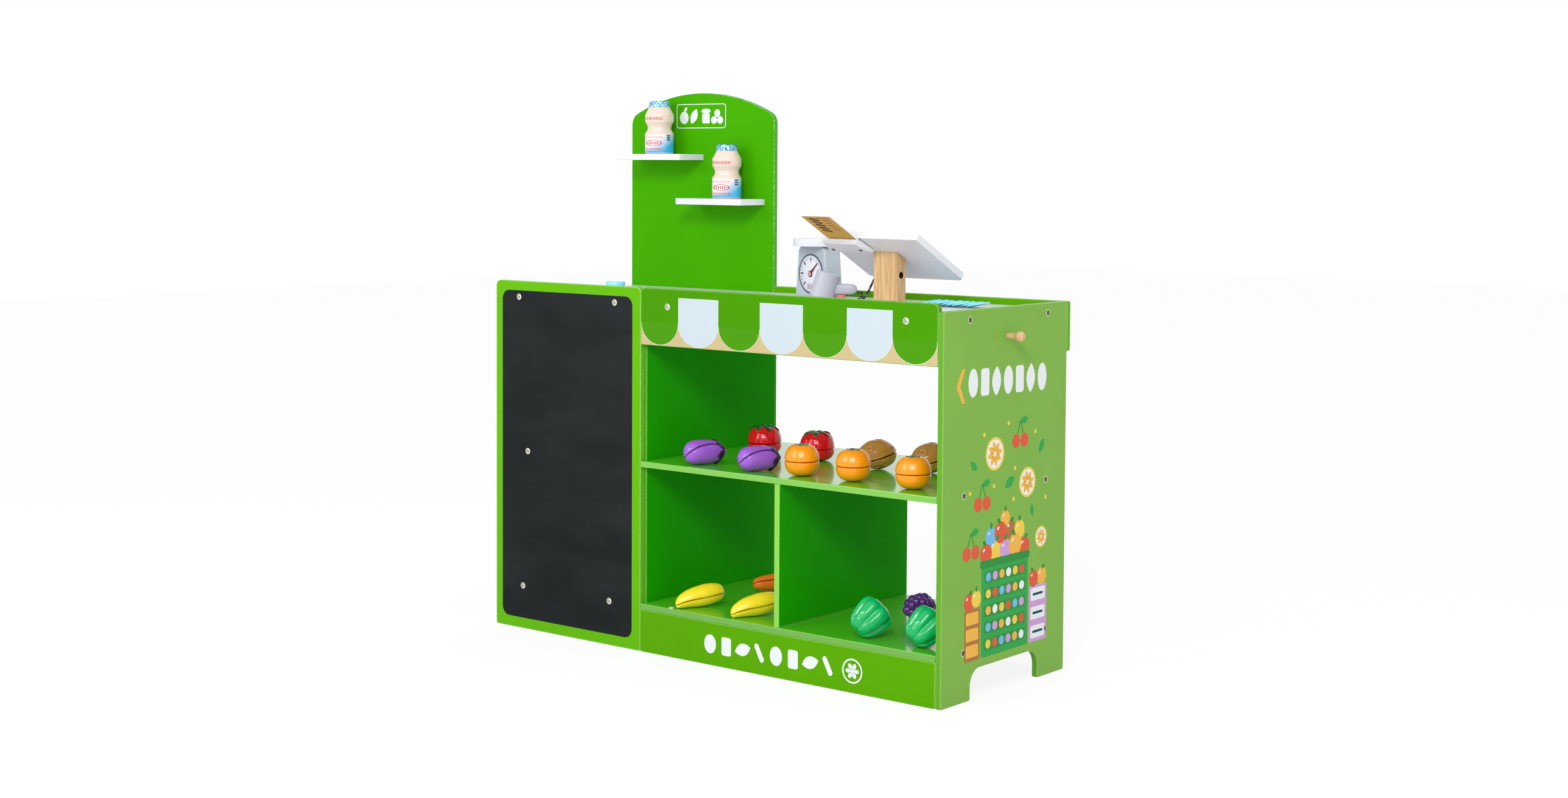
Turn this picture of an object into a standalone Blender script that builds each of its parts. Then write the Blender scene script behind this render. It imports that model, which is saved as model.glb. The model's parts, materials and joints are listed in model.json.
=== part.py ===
# Toy grocery shop: painted board cabinet with counter goods, scale, register, scanner and play food.
# Metres, Z up. Shop coordinates run from the seam between the two units (x), the front faces (y)
# and the floor (z); the helper shop() turns them into scene coordinates.
import math

import bmesh
import bpy
import numpy as np
from mathutils import Matrix, Vector

for leftover in list(bpy.data.objects):
    bpy.data.objects.remove(leftover, do_unlink=True)

# Cabinet sizes
GAP = 0.0003
BOARD_T = 0.010
SHOP_DEPTH = 0.350
LEFT_UNIT_W = 0.3445
RIGHT_UNIT_W = 0.5995
FRONT_H = 0.610
SIDE_H = 0.598
COUNTER_TOP = 0.587
MID_SHELF_TOP = 0.320
BOTTOM_SHELF_TOP = 0.081
AWNING_H = 0.095
DIVIDER_X = 0.288
SHELF_LIP = 0.0035
RAIL_H = 0.081
BACK_H = 0.9452
BACK_ARCH_R = 0.370
BACK_SHOULDER_R = 0.022
CORNER_R = 0.010
SMALL_CORNER_R = 0.004
EDGE_ROUND = 0.0008
LEG_W = 0.079
LEG_CUT_H = 0.047
LEG_CUT_R = 0.026
BLACKBOARD_MARGIN = 0.0165
BLACKBOARD_R = 0.016
BLACKBOARD_POCKET = 0.0020
BLACKBOARD_SHEET_T = 0.0014

# Shelves on the arched panel
WALL_SHELF_T = 0.011
WALL_SHELF_W = 0.1550
WALL_SHELF_D = 0.069
WALL_SHELF_R = 0.006
UPPER_SHELF_DROP = 0.1117
UPPER_SHELF_X = -0.2438
LOWER_SHELF_DROP = 0.1917
LOWER_SHELF_X = -0.0990

# Peg on the side panel
PEG_Y = 0.175
PEG_Z = 0.5525
PEG_NECK_R = 0.0045
PEG_BALL_R = 0.0082
PEG_REACH = 0.030

# Scale
SCALE_X = 0.0885
SCALE_FROM_BACK = 0.048
SCALE_YAW = math.radians(-15.5)
SCALE_W_BOTTOM = 0.092
SCALE_W_TOP = 0.074
SCALE_BODY_D = 0.034
SCALE_BODY_H = 0.0875
SCALE_TOP_R = 0.012
DIAL_R = 0.0345
DIAL_T = 0.0015
DIAL_H = 0.040
NEEDLE_L = 0.028
NEEDLE_HUB_R = 0.0055
NEEDLE_T = 0.0012
NEEDLE_ANGLE = math.radians(47)
PLATFORM_R = 0.045
PLATFORM_T = 0.0125

# Register
POST_X = 0.3322
POST_FROM_BACK = 0.150
POST_W = 0.047
POST_D = 0.0252
POST_H = 0.0868
POST_HOLE_R = 0.0054
POST_HOLE_H = 0.049
SCREEN_TILT = math.radians(27.3)
SCREEN_W = 0.1885
SCREEN_L = 0.153
SCREEN_T = 0.012
SCREEN_R = 0.009
SCREEN_NEAR = 0.044
SCREEN_LEFT = 0.0732
HOLDER_LEFT = -0.006
HOLDER_W_NEAR = 0.074
HOLDER_W_FAR = 0.086
HOLDER_L = 0.041
HOLDER_T = 0.0095
CARD_W = 0.060
CARD_L = 0.100
CARD_T = 0.0020
CARD_IN = 0.016
CARD_R = 0.003
CARD_INSET = 0.0133
SLOT_OVERRUN = 0.002

# Hand scanner
SCANNER_X = 0.2157
SCANNER_FROM_BACK = 0.138
SCANNER_YAW = math.radians(36)
SCANNER_LEAN = math.radians(16.9)
HEAD_R = 0.0208
HEAD_L = 0.0425
HANDLE_END = 0.060
HANDLE_H = 0.0175
HANDLE_W = 0.018
HANDLE_LOW = 0.0115
HANDLE_R = 0.0062
TRIGGER_X = 0.0250
TRIGGER_L = 0.0145
TRIGGER_W = 0.010
TRIGGER_R = 0.002
CORD_D = 0.0038

# Coins and tin
COIN_R = 0.019
COIN_T = 0.0025
COIN_LEAN = math.radians(12)
COIN_STEP = 0.0135
COIN_X = 0.4100
COIN_FROM_BACK = 0.100
COIN_COUNT = 8
COIN_SIDE_STEPS = (0.0, 0.002, -0.002, 0.003, 0.001, -0.002, 0.002, 0.0)
TIN_R = 0.0175
TIN_H = 0.0145
TIN_X = -0.255
TIN_FROM_BACK = 0.140

# Play food
BOTTLE_H = 0.097
BOTTLE_R = 0.0266
LOWER_BOTTLE_SHIFT = 0.0180
ORANGE_R = 0.0278
ORANGE_H = 0.0500
TOMATO_R = 0.0292
TOMATO_H = 0.0480
POTATO_L = 0.066
POTATO_W = 0.052
POTATO_H = 0.049
EGGPLANT_L = 0.074
EGGPLANT_R = 0.0205
BANANA_L = 0.087
BANANA_R = 0.0180
BANANA_RISE = 0.012
CARROT_L = 0.098
CARROT_R = 0.0175
PEPPER_L = 0.058
PEPPER_R = 0.0300
GRAPE_R = 0.0088
LATHE_STEPS = 18
COIN_CORNERS = 20
DISC_CORNERS = 32

ORANGE_SPOTS = ((0.3055, 0.0476), (0.4032, 0.0540), (0.5222, 0.0484))
TOMATO_SPOTS = ((0.1012, 0.2033), (0.2156, 0.2029))
POTATO_SPOTS = ((0.3560, 0.1822), (0.4480, 0.2020))
EGGPLANT_SPOTS = ((0.1064, 0.0420), (0.2226, 0.0420))
BANANA_SPOTS = ((0.0949, 0.0440), (0.2116, 0.0470))
PEPPER_SPOTS = ((0.4475, 0.0405), (0.5521, 0.0405))
CARROT_SPOT = (0.1185, 0.2240)
GRAPE_SPOT = (0.4448, 0.1775)
LYING_YAW = math.radians(63)

# The whole shop is centred on the origin
SEAM_X = -(RIGHT_UNIT_W + BOARD_T + PEG_REACH - LEFT_UNIT_W) / 2
FRONT_Y = -(SHOP_DEPTH + GAP + BOARD_T) / 2

GREEN = (0.10, 0.42, 0.01)
SIDE_GREEN = (0.20, 0.42, 0.08)
WHITE = (0.82, 0.83, 0.86)

parts = bpy.data.collections.new("toy_grocery_shop")
tools = bpy.data.collections.new("cutters")
bpy.context.scene.collection.children.link(parts)
bpy.context.scene.collection.children.link(tools)


def shop(x, y, z):
    return Vector((x + SEAM_X, y + FRONT_Y, z))


def paint(obj, colour, roughness=0.4, metallic=0.0):
    material = bpy.data.materials.new(obj.name)
    material.use_nodes = True
    shader = material.node_tree.nodes["Principled BSDF"]
    shader.inputs["Base Color"].default_value = (*colour, 1.0)
    shader.inputs["Roughness"].default_value = roughness
    shader.inputs["Metallic"].default_value = metallic
    obj.data.materials.append(material)
    return obj


def place(name, data, collection=None):
    obj = bpy.data.objects.new(name, data)
    (collection or parts).objects.link(obj)
    return obj


def cutter(obj):
    obj.hide_render = True
    obj.display_type = "WIRE"
    return obj


def fillet(corners, steps=5):
    """Turns (x, y, radius) corners into outline points with arcs of the given radii."""
    points = []
    count = len(corners)
    for i, (x, y, radius) in enumerate(corners):
        here = Vector((x, y))
        if radius <= 0:
            points.append(here)
            continue
        before = (Vector(corners[i - 1][:2]) - here).normalized()
        after = (Vector(corners[(i + 1) % count][:2]) - here).normalized()
        half = before.angle(after) / 2
        centre = here + (before + after).normalized() * (radius / math.sin(half))
        start = here + before * (radius / math.tan(half)) - centre
        end = here + after * (radius / math.tan(half)) - centre
        sweep = start.angle_signed(end)
        for k in range(steps + 1):
            points.append(centre + Matrix.Rotation(-sweep * k / steps, 2) @ start)
    return points


def slab(name, outlines, thickness, collection=None, edge=EDGE_ROUND):
    """A flat board: closed outlines filled and thickened about the local plane, edges eased."""
    curve = bpy.data.curves.new(name, "CURVE")
    curve.dimensions = "2D"
    curve.fill_mode = "BOTH"
    curve.extrude = thickness / 2 - edge
    curve.bevel_depth = edge
    curve.bevel_resolution = 0
    curve.offset = -edge
    for outline in outlines:
        spline = curve.splines.new("POLY")
        spline.points.add(len(outline) - 1)
        for point, (x, y) in zip(spline.points, outline):
            point.co = (x, y, 0.0, 1.0)
        spline.use_cyclic_u = True
    return place(name, curve, collection)


def circle(x, y, radius, steps=24):
    angles = [2 * math.pi * k / steps for k in range(steps)]
    return [Vector((x + radius * math.cos(angle), y + radius * math.sin(angle))) for angle in angles]


def front_board(name, corners, y):
    """A board standing parallel to the front, its near face at y, outline given in x and z."""
    obj = slab(name, [fillet(corners)], BOARD_T)
    obj.location = shop(0.0, y + BOARD_T / 2, 0.0)
    obj.rotation_euler = (math.pi / 2, 0.0, 0.0)
    return obj


def side_board(name, corners, x):
    """A board standing parallel to the side, its left face at x, outline given in y and z."""
    obj = slab(name, [fillet(corners)], BOARD_T)
    obj.location = shop(x + BOARD_T / 2, 0.0, 0.0)
    obj.rotation_euler = (math.pi / 2, 0.0, math.pi / 2)
    return obj


def shelf(name, corners, top, thickness=BOARD_T):
    """A level board with its upper face at the given height, outline given in x and y."""
    obj = slab(name, [fillet(corners)], thickness)
    obj.location = shop(0.0, 0.0, top - thickness / 2)
    return obj


def rectangle(x0, x1, y0, y1, lower=0.0, upper=0.0):
    return [(x0, y0, lower), (x1, y0, lower), (x1, y1, upper), (x0, y1, upper)]


def box(name, size, centre, collection=None, ease=0.0):
    mesh = bpy.data.meshes.new(name)
    solid = bmesh.new()
    bmesh.ops.create_cube(solid, size=1.0)
    bmesh.ops.scale(solid, vec=size, verts=solid.verts)
    solid.to_mesh(mesh)
    solid.free()
    obj = place(name, mesh, collection)
    obj.location = centre
    if ease > 0:
        bevel = obj.modifiers.new("edges", "BEVEL")
        bevel.width = ease
        bevel.segments = 2
    return obj


def lathe(name, profile, steps=LATHE_STEPS, collection=None):
    """A turned piece from (radius, height) points listed from the top down its outer side."""
    mesh = bpy.data.meshes.new(name)
    mesh.from_pydata([(r, 0.0, z) for r, z in profile], [(i, i + 1) for i in range(len(profile) - 1)], [])
    obj = place(name, mesh, collection)
    screw = obj.modifiers.new("turned", "SCREW")
    screw.axis = "Z"
    screw.steps = steps
    screw.render_steps = steps
    screw.use_merge_vertices = True
    screw.merge_threshold = 0.00001
    screw.use_smooth_shade = True
    return obj


def cut(obj, tool, operation="DIFFERENCE"):
    step = obj.modifiers.new(tool.name, "BOOLEAN")
    step.operation = operation
    step.solver = "EXACT"
    step.object = tool


def as_mesh(obj):
    """Replaces a curve piece by the mesh it makes, so that it can be cut."""
    bpy.context.view_layer.update()
    made = bpy.data.meshes.new_from_object(obj.evaluated_get(bpy.context.evaluated_depsgraph_get()))
    weld = bmesh.new()
    weld.from_mesh(made)
    bmesh.ops.remove_doubles(weld, verts=weld.verts, dist=0.000001)
    bmesh.ops.recalc_face_normals(weld, faces=weld.faces)
    weld.to_mesh(made)
    weld.free()
    name, where, turn = obj.name, obj.location.copy(), obj.rotation_euler.copy()
    collection = obj.users_collection[0]
    old = obj.data
    bpy.data.objects.remove(obj, do_unlink=True)
    bpy.data.curves.remove(old)
    made.name = name
    new = place(name, made, collection)
    new.location = where
    new.rotation_euler = turn
    return new


# Left unit: blackboard column open on its left side
wall_low_x = -BOARD_T / 2
wall_high_x = BOARD_T / 2
back_y = SHOP_DEPTH + GAP
counter_under = COUNTER_TOP - BOARD_T

blackboard_board = as_mesh(
    front_board(
        "blackboard_board",
        rectangle(-LEFT_UNIT_W, 0.0, 0.0, FRONT_H, SMALL_CORNER_R, CORNER_R),
        0.0,
    )
)
pocket = as_mesh(
    slab(
        "blackboard_pocket",
        [
            fillet(
                rectangle(
                    -LEFT_UNIT_W + BLACKBOARD_MARGIN,
                    -BLACKBOARD_MARGIN,
                    BLACKBOARD_MARGIN,
                    FRONT_H - BLACKBOARD_MARGIN,
                    BLACKBOARD_R,
                    BLACKBOARD_R,
                )
            )
        ],
        2 * BLACKBOARD_POCKET,
        tools,
        0.0,
    )
)
pocket.location = shop(0.0, 0.0, 0.0)
pocket.rotation_euler = (math.pi / 2, 0.0, 0.0)
cut(blackboard_board, cutter(pocket))
paint(blackboard_board, GREEN)

sheet_margin = BLACKBOARD_MARGIN + GAP
blackboard_sheet = slab(
    "blackboard_sheet",
    [
        fillet(
            rectangle(
                -LEFT_UNIT_W + sheet_margin,
                -sheet_margin,
                sheet_margin,
                FRONT_H - sheet_margin,
                BLACKBOARD_R - GAP,
                BLACKBOARD_R - GAP,
            )
        )
    ],
    BLACKBOARD_SHEET_T,
    edge=0.0,
)
blackboard_sheet.location = shop(0.0, BLACKBOARD_POCKET - GAP - BLACKBOARD_SHEET_T / 2, 0.0)
blackboard_sheet.rotation_euler = (math.pi / 2, 0.0, 0.0)
paint(blackboard_sheet, (0.03, 0.035, 0.037), 0.8)

inner_shelf = rectangle(-LEFT_UNIT_W, wall_low_x - GAP, BOARD_T + GAP, SHOP_DEPTH)
paint(shelf("left_mid_shelf", inner_shelf, MID_SHELF_TOP), GREEN)
paint(shelf("left_bottom_shelf", inner_shelf, BOTTOM_SHELF_TOP), GREEN)


def leg_outline(near, top, top_corner):
    """Outline of a standing side board with two feet, given in y and z."""
    return [
        (near, 0.0, SMALL_CORNER_R / 2),
        (LEG_W, 0.0, SMALL_CORNER_R / 2),
        (LEG_W, LEG_CUT_H, LEG_CUT_R),
        (SHOP_DEPTH - LEG_W, LEG_CUT_H, LEG_CUT_R),
        (SHOP_DEPTH - LEG_W, 0.0, SMALL_CORNER_R / 2),
        (SHOP_DEPTH, 0.0, SMALL_CORNER_R / 2),
        (SHOP_DEPTH, top, top_corner),
        (near, top, top_corner),
    ]


paint(
    side_board("inner_wall", leg_outline(BOARD_T + GAP, counter_under - GAP, 0.0), wall_low_x),
    GREEN,
)

arch_rise = BACK_ARCH_R - math.sqrt(BACK_ARCH_R**2 - (LEFT_UNIT_W / 2) ** 2)
shoulder_z = BACK_H - arch_rise
arch_steps = 14
arch_angle = math.asin(LEFT_UNIT_W / 2 / BACK_ARCH_R)
arch_corners = [
    (-LEFT_UNIT_W, 0.0, SMALL_CORNER_R / 2),
    (0.0, 0.0, SMALL_CORNER_R / 2),
    (0.0, shoulder_z, BACK_SHOULDER_R),
]
for k in range(2, arch_steps - 1):
    angle = arch_angle - 2 * arch_angle * k / arch_steps
    arch_corners.append(
        (
            -LEFT_UNIT_W / 2 + BACK_ARCH_R * math.sin(angle),
            BACK_H - BACK_ARCH_R + BACK_ARCH_R * math.cos(angle),
            0.0,
        )
    )
arch_corners.append((-LEFT_UNIT_W, shoulder_z, BACK_SHOULDER_R))
paint(front_board("arched_back_panel", arch_corners, back_y), GREEN)

wall_shelf_front = SHOP_DEPTH - WALL_SHELF_D
upper_shelf_top = BACK_H - UPPER_SHELF_DROP
lower_shelf_top = BACK_H - LOWER_SHELF_DROP


def wall_shelf(name, x, top):
    corners = rectangle(
        x - WALL_SHELF_W / 2, x + WALL_SHELF_W / 2, wall_shelf_front, SHOP_DEPTH, WALL_SHELF_R, 0.0
    )
    return paint(shelf(name, corners, top, WALL_SHELF_T), WHITE)


wall_shelf("wall_shelf_upper", UPPER_SHELF_X, upper_shelf_top)
wall_shelf("wall_shelf_lower", LOWER_SHELF_X, lower_shelf_top)

# Right unit: checkout with two shelves, open at the front and back
right_inner_x = RIGHT_UNIT_W - GAP
paint(
    shelf("countertop", rectangle(-LEFT_UNIT_W, right_inner_x, BOARD_T + GAP, SHOP_DEPTH), COUNTER_TOP),
    WHITE,
    0.3,
)

paint(
    front_board(
        "awning_board",
        rectangle(GAP, right_inner_x, FRONT_H - AWNING_H, FRONT_H, 0.0015, CORNER_R),
        0.0,
    ),
    GREEN,
)
paint(
    front_board(
        "kick_board",
        rectangle(GAP, right_inner_x, 0.0, BOTTOM_SHELF_TOP - BOARD_T - GAP, SMALL_CORNER_R, 0.0),
        0.0,
    ),
    GREEN,
)

lip_x = wall_high_x - SHELF_LIP
shelf_corners = [
    (lip_x, 0.0, 0.0),
    (right_inner_x, 0.0, 0.0),
    (right_inner_x, SHOP_DEPTH, 0.0),
    (wall_high_x + GAP, SHOP_DEPTH, 0.0),
    (wall_high_x + GAP, BOARD_T, 0.0),
    (lip_x, BOARD_T, 0.0),
]
paint(shelf("mid_shelf", shelf_corners, MID_SHELF_TOP), GREEN, 0.2)
paint(shelf("bottom_shelf", shelf_corners, BOTTOM_SHELF_TOP), GREEN, 0.2)

paint(
    side_board(
        "shelf_divider",
        rectangle(0.0, SHOP_DEPTH, BOTTOM_SHELF_TOP + GAP, MID_SHELF_TOP - BOARD_T - GAP),
        DIVIDER_X,
    ),
    GREEN,
)
paint(
    side_board("side_panel", leg_outline(0.0, SIDE_H, SMALL_CORNER_R), RIGHT_UNIT_W),
    SIDE_GREEN,
)
paint(
    front_board(
        "back_rail",
        rectangle(
            GAP, RIGHT_UNIT_W + BOARD_T, SIDE_H - RAIL_H, SIDE_H, SMALL_CORNER_R, SMALL_CORNER_R
        ),
        back_y,
    ),
    GREEN,
)

# Turned wooden peg on the outside of the side panel
ball_centre = PEG_REACH - PEG_BALL_R
peg_profile = [(0.0, PEG_REACH)]
neck_angle = math.asin(PEG_NECK_R / PEG_BALL_R)
for k in range(1, 9):
    angle = (math.pi - neck_angle) * k / 8
    peg_profile.append((PEG_BALL_R * math.sin(angle), ball_centre + PEG_BALL_R * math.cos(angle)))
peg_profile += [(PEG_NECK_R, GAP), (0.0, GAP)]
hanging_peg = lathe("hanging_peg", peg_profile, 16)
hanging_peg.location = shop(RIGHT_UNIT_W + BOARD_T, PEG_Y, PEG_Z)
hanging_peg.rotation_euler = (0.0, math.pi / 2, 0.0)
paint(hanging_peg, (0.75, 0.55, 0.36))

# Kitchen scale: one empty carries the body's frame, front face on the local plane y = 0
counter_rest = COUNTER_TOP + GAP
scale_place = Matrix.Translation(shop(SCALE_X, SHOP_DEPTH - SCALE_FROM_BACK, counter_rest))
scale_frame = scale_place @ Matrix.Rotation(SCALE_YAW, 4, "Z")
upright = Matrix.Rotation(math.pi / 2, 4, "X")
scale_mid = SCALE_W_BOTTOM / 2

scale_body = slab(
    "scale_body",
    [
        fillet(
            [
                (0.0, 0.0, 0.003),
                (SCALE_W_BOTTOM, 0.0, 0.003),
                (scale_mid + SCALE_W_TOP / 2, SCALE_BODY_H, SCALE_TOP_R),
                (scale_mid - SCALE_W_TOP / 2, SCALE_BODY_H, SCALE_TOP_R),
            ]
        )
    ],
    SCALE_BODY_D,
    edge=0.001,
)
scale_body.matrix_world = scale_frame @ Matrix.Translation((0.0, SCALE_BODY_D / 2, 0.0)) @ upright
paint(scale_body, (0.47, 0.50, 0.53), 0.35)

scale_dial = slab("scale_dial", [circle(0.0, 0.0, DIAL_R, DISC_CORNERS)], DIAL_T, edge=0.0003)
scale_dial.matrix_world = scale_frame @ Matrix.Translation((scale_mid, -GAP - DIAL_T / 2, DIAL_H)) @ upright
paint(scale_dial, (0.85, 0.85, 0.85), 0.3)

needle_outline = []
needle_open = math.radians(18)
for k in range(15):
    angle = math.pi / 2 + needle_open + (2 * math.pi - 2 * needle_open) * k / 14
    needle_outline.append(Vector((NEEDLE_HUB_R * math.cos(angle), NEEDLE_HUB_R * math.sin(angle))))
needle_outline += [Vector((0.0004, NEEDLE_L)), Vector((-0.0004, NEEDLE_L))]
scale_needle = slab("scale_needle", [needle_outline], NEEDLE_T, edge=0.0)
needle_place = Matrix.Translation((scale_mid, -2 * GAP - DIAL_T - NEEDLE_T / 2, DIAL_H))
scale_needle.matrix_world = scale_frame @ needle_place @ upright @ Matrix.Rotation(-NEEDLE_ANGLE, 4, "Z")
paint(scale_needle, (0.35, 0.01, 0.02), 0.4)

scale_platform = slab("scale_platform", [circle(0.0, 0.0, PLATFORM_R, DISC_CORNERS)], PLATFORM_T, edge=0.001)
scale_platform.matrix_world = scale_frame @ Matrix.Translation(
    (scale_mid, SCALE_BODY_D / 2, SCALE_BODY_H + GAP + PLATFORM_T / 2)
)
paint(scale_platform, WHITE, 0.35)

# Register: the screen's frame has its origin on the near lower edge, y down the slope, z off its face
post_y = SHOP_DEPTH - POST_FROM_BACK
screen_near_z = counter_rest + POST_H + SCREEN_NEAR * math.tan(SCREEN_TILT) + GAP / math.cos(SCREEN_TILT)
screen_frame = Matrix.Translation(
    shop(POST_X - SCREEN_LEFT, post_y - SCREEN_NEAR, screen_near_z)
) @ Matrix.Rotation(-SCREEN_TILT, 4, "X")

post_outline = fillet(
    [
        (0.0, 0.0, 0.0),
        (POST_D, 0.0, 0.0),
        (POST_D, POST_H - POST_D * math.tan(SCREEN_TILT), 0.0),
        (0.0, POST_H, 0.0),
    ]
)
post_hole = circle(POST_D / 2, POST_HOLE_H, POST_HOLE_R, 20)
register_post = slab("register_post", [post_outline, post_hole], POST_W)
register_post.location = shop(POST_X + POST_W / 2, post_y, counter_rest)
register_post.rotation_euler = (math.pi / 2, 0.0, math.pi / 2)
paint(register_post, (0.72, 0.50, 0.28))

register_screen = slab(
    "register_screen",
    [fillet(rectangle(0.0, SCREEN_W, 0.0, SCREEN_L, SCREEN_R / 3, SCREEN_R))],
    SCREEN_T,
    edge=0.001,
)
register_screen.matrix_world = screen_frame @ Matrix.Translation((0.0, 0.0, SCREEN_T / 2))
paint(register_screen, WHITE, 0.35)

holder_side = (HOLDER_W_FAR - HOLDER_W_NEAR) / 2
card_x = CARD_INSET + CARD_W / 2
card_holder = as_mesh(
    slab(
        "card_holder",
        [
            fillet(
                [
                    (holder_side, 0.0, 0.0),
                    (holder_side + HOLDER_W_NEAR, 0.0, 0.0),
                    (HOLDER_W_FAR, HOLDER_L, 0.0),
                    (0.0, HOLDER_L, 0.0),
                ]
            )
        ],
        HOLDER_T,
        edge=0.001,
    )
)
card_holder.matrix_world = screen_frame @ Matrix.Translation((HOLDER_LEFT, 0.0, -GAP - HOLDER_T / 2))
slot_size = Vector((CARD_W + 2 * GAP, CARD_IN + GAP + SLOT_OVERRUN, CARD_T + 2 * GAP + SLOT_OVERRUN))
slot = box("card_slot", slot_size, (0.0, 0.0, 0.0), tools)
slot.matrix_world = screen_frame @ Matrix.Translation(
    (card_x, CARD_IN + GAP - slot_size.y / 2, slot_size.z / 2 - CARD_T - 3 * GAP)
)
cut(card_holder, cutter(slot))
paint(card_holder, WHITE, 0.35)

play_card = slab(
    "play_card",
    [fillet(rectangle(-CARD_W / 2, CARD_W / 2, CARD_IN - CARD_L, CARD_IN, CARD_R, CARD_R))],
    CARD_T,
    edge=0.0003,
)
play_card.matrix_world = screen_frame @ Matrix.Translation((card_x, 0.0, -2 * GAP - CARD_T / 2))
paint(play_card, (0.62, 0.40, 0.07), 0.4)

# Hand scanner: frame on the counter under the head, x along the handle
scanner_turn = Matrix.Rotation(SCANNER_YAW, 4, "Z")
scanner_place = Matrix.Translation(shop(SCANNER_X, SHOP_DEPTH - SCANNER_FROM_BACK, counter_rest))
scanner_frame = scanner_place @ scanner_turn
head_frame = (
    scanner_frame
    @ Matrix.Translation((0.0, 0.0, HEAD_R * math.sin(SCANNER_LEAN)))
    @ Matrix.Rotation(SCANNER_LEAN, 4, "Y")
)
head_edge = 0.0012
head_profile = [
    (0.0, HEAD_L),
    (HEAD_R - head_edge, HEAD_L),
    (HEAD_R, HEAD_L - head_edge),
    (HEAD_R, head_edge),
    (HEAD_R - head_edge, 0.0),
    (0.0, 0.0),
]
scanner_head = lathe("scanner_head", head_profile, 32)
scanner_head.matrix_world = head_frame
paint(scanner_head, (0.52, 0.53, 0.58), 0.4)

handle_start = HEAD_R * 0.6
scanner_handle = box(
    "scanner_handle",
    (HANDLE_END - handle_start, HANDLE_W, HANDLE_H),
    (0.0, 0.0, 0.0),
    ease=HANDLE_R / 2,
)
scanner_handle.matrix_world = scanner_frame @ Matrix.Translation(
    ((HANDLE_END + handle_start) / 2, 0.0, HANDLE_LOW + HANDLE_H / 2)
)
clear_r = HEAD_R + GAP
clear_top = HEAD_L + HEAD_R
clear_profile = [(0.0, clear_top), (clear_r, clear_top), (clear_r, -HEAD_R), (0.0, -HEAD_R)]
head_clear = lathe("head_clearance", clear_profile, 64, tools)
head_clear.matrix_world = head_frame
cut(scanner_handle, cutter(head_clear))
paint(scanner_handle, (0.52, 0.53, 0.58), 0.4)

scanner_trigger = box(
    "scanner_trigger",
    (TRIGGER_L, TRIGGER_W, HANDLE_LOW - GAP),
    (0.0, 0.0, 0.0),
    ease=TRIGGER_R / 2,
)
scanner_trigger.matrix_world = scanner_frame @ Matrix.Translation(
    (TRIGGER_X + TRIGGER_L / 2, 0.0, (HANDLE_LOW - GAP) / 2)
)
paint(scanner_trigger, (0.80, 0.25, 0.22), 0.4)

# Cord from the handle's end, round on the counter and up to the hole in the post
cord_low = counter_rest + CORD_D / 2
handle_tip = scanner_frame @ Vector((HANDLE_END + GAP, 0.0, HANDLE_LOW + HANDLE_H * 0.4))
hole_mouth = shop(POST_X, post_y + POST_D / 2, counter_rest + POST_HOLE_H)
heading = scanner_turn @ Vector((1.0, 0.0, 0.0))
cord_knots = [
    handle_tip,
    handle_tip + heading * 0.006,
    handle_tip + heading * 0.010 + Vector((0.003, -0.008, -0.006)),
    Vector((handle_tip.x + 0.012, handle_tip.y - 0.020, cord_low + 0.0010)),
    Vector((handle_tip.x + 0.009, handle_tip.y - 0.034, cord_low)),
    Vector((handle_tip.x + 0.005, handle_tip.y - 0.050, cord_low)),
    Vector((handle_tip.x + 0.012, handle_tip.y - 0.066, cord_low)),
    Vector((hole_mouth.x - 0.040, hole_mouth.y - 0.030, cord_low)),
    Vector((hole_mouth.x - 0.027, hole_mouth.y - 0.013, cord_low + 0.002)),
    Vector((hole_mouth.x - 0.019, hole_mouth.y - 0.003, cord_low + 0.016)),
    Vector((hole_mouth.x - 0.010, hole_mouth.y, hole_mouth.z - 0.012)),
    Vector((hole_mouth.x - 0.003, hole_mouth.y, hole_mouth.z - 0.001)),
    Vector((hole_mouth.x + 0.004, hole_mouth.y, hole_mouth.z)),
    Vector((hole_mouth.x + 0.012, hole_mouth.y, hole_mouth.z)),
]


def smooth_route(knots, spacing):
    """Points at an even spacing along a curve that passes through every knot."""
    dense = []
    padded = [2 * knots[0] - knots[1], *knots, 2 * knots[-1] - knots[-2]]
    for i in range(1, len(padded) - 2):
        a, b, c, d = padded[i - 1 : i + 3]
        for k in range(12):
            t = k / 12
            square_term = (2 * a - 5 * b + 4 * c - d) * t**2
            cube_term = (3 * b - a - 3 * c + d) * t**3
            dense.append(0.5 * (2 * b + (c - a) * t + square_term + cube_term))
    dense.append(knots[-1])
    line = np.array([tuple(p) for p in dense])
    length = np.concatenate([[0.0], np.cumsum(np.linalg.norm(np.diff(line, axis=0), axis=1))])
    stations = np.linspace(0.0, length[-1], int(length[-1] / spacing) + 1)
    return np.stack([np.interp(stations, length, line[:, axis]) for axis in range(3)], axis=1)


route = smooth_route(cord_knots, 2.0 * CORD_D)
cord_curve = bpy.data.curves.new("scanner_cord", "CURVE")
cord_curve.dimensions = "3D"
cord_curve.bevel_depth = CORD_D / 2
cord_curve.bevel_resolution = 2
cord_curve.use_fill_caps = True
cord_line = cord_curve.splines.new("POLY")
cord_line.points.add(len(route) - 1)
for point, (x, y, z) in zip(cord_line.points, route):
    point.co = (x, y, max(z, cord_low), 1.0)
scanner_cord = place("scanner_cord", cord_curve)
paint(scanner_cord, (0.05, 0.05, 0.055), 0.8)

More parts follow.
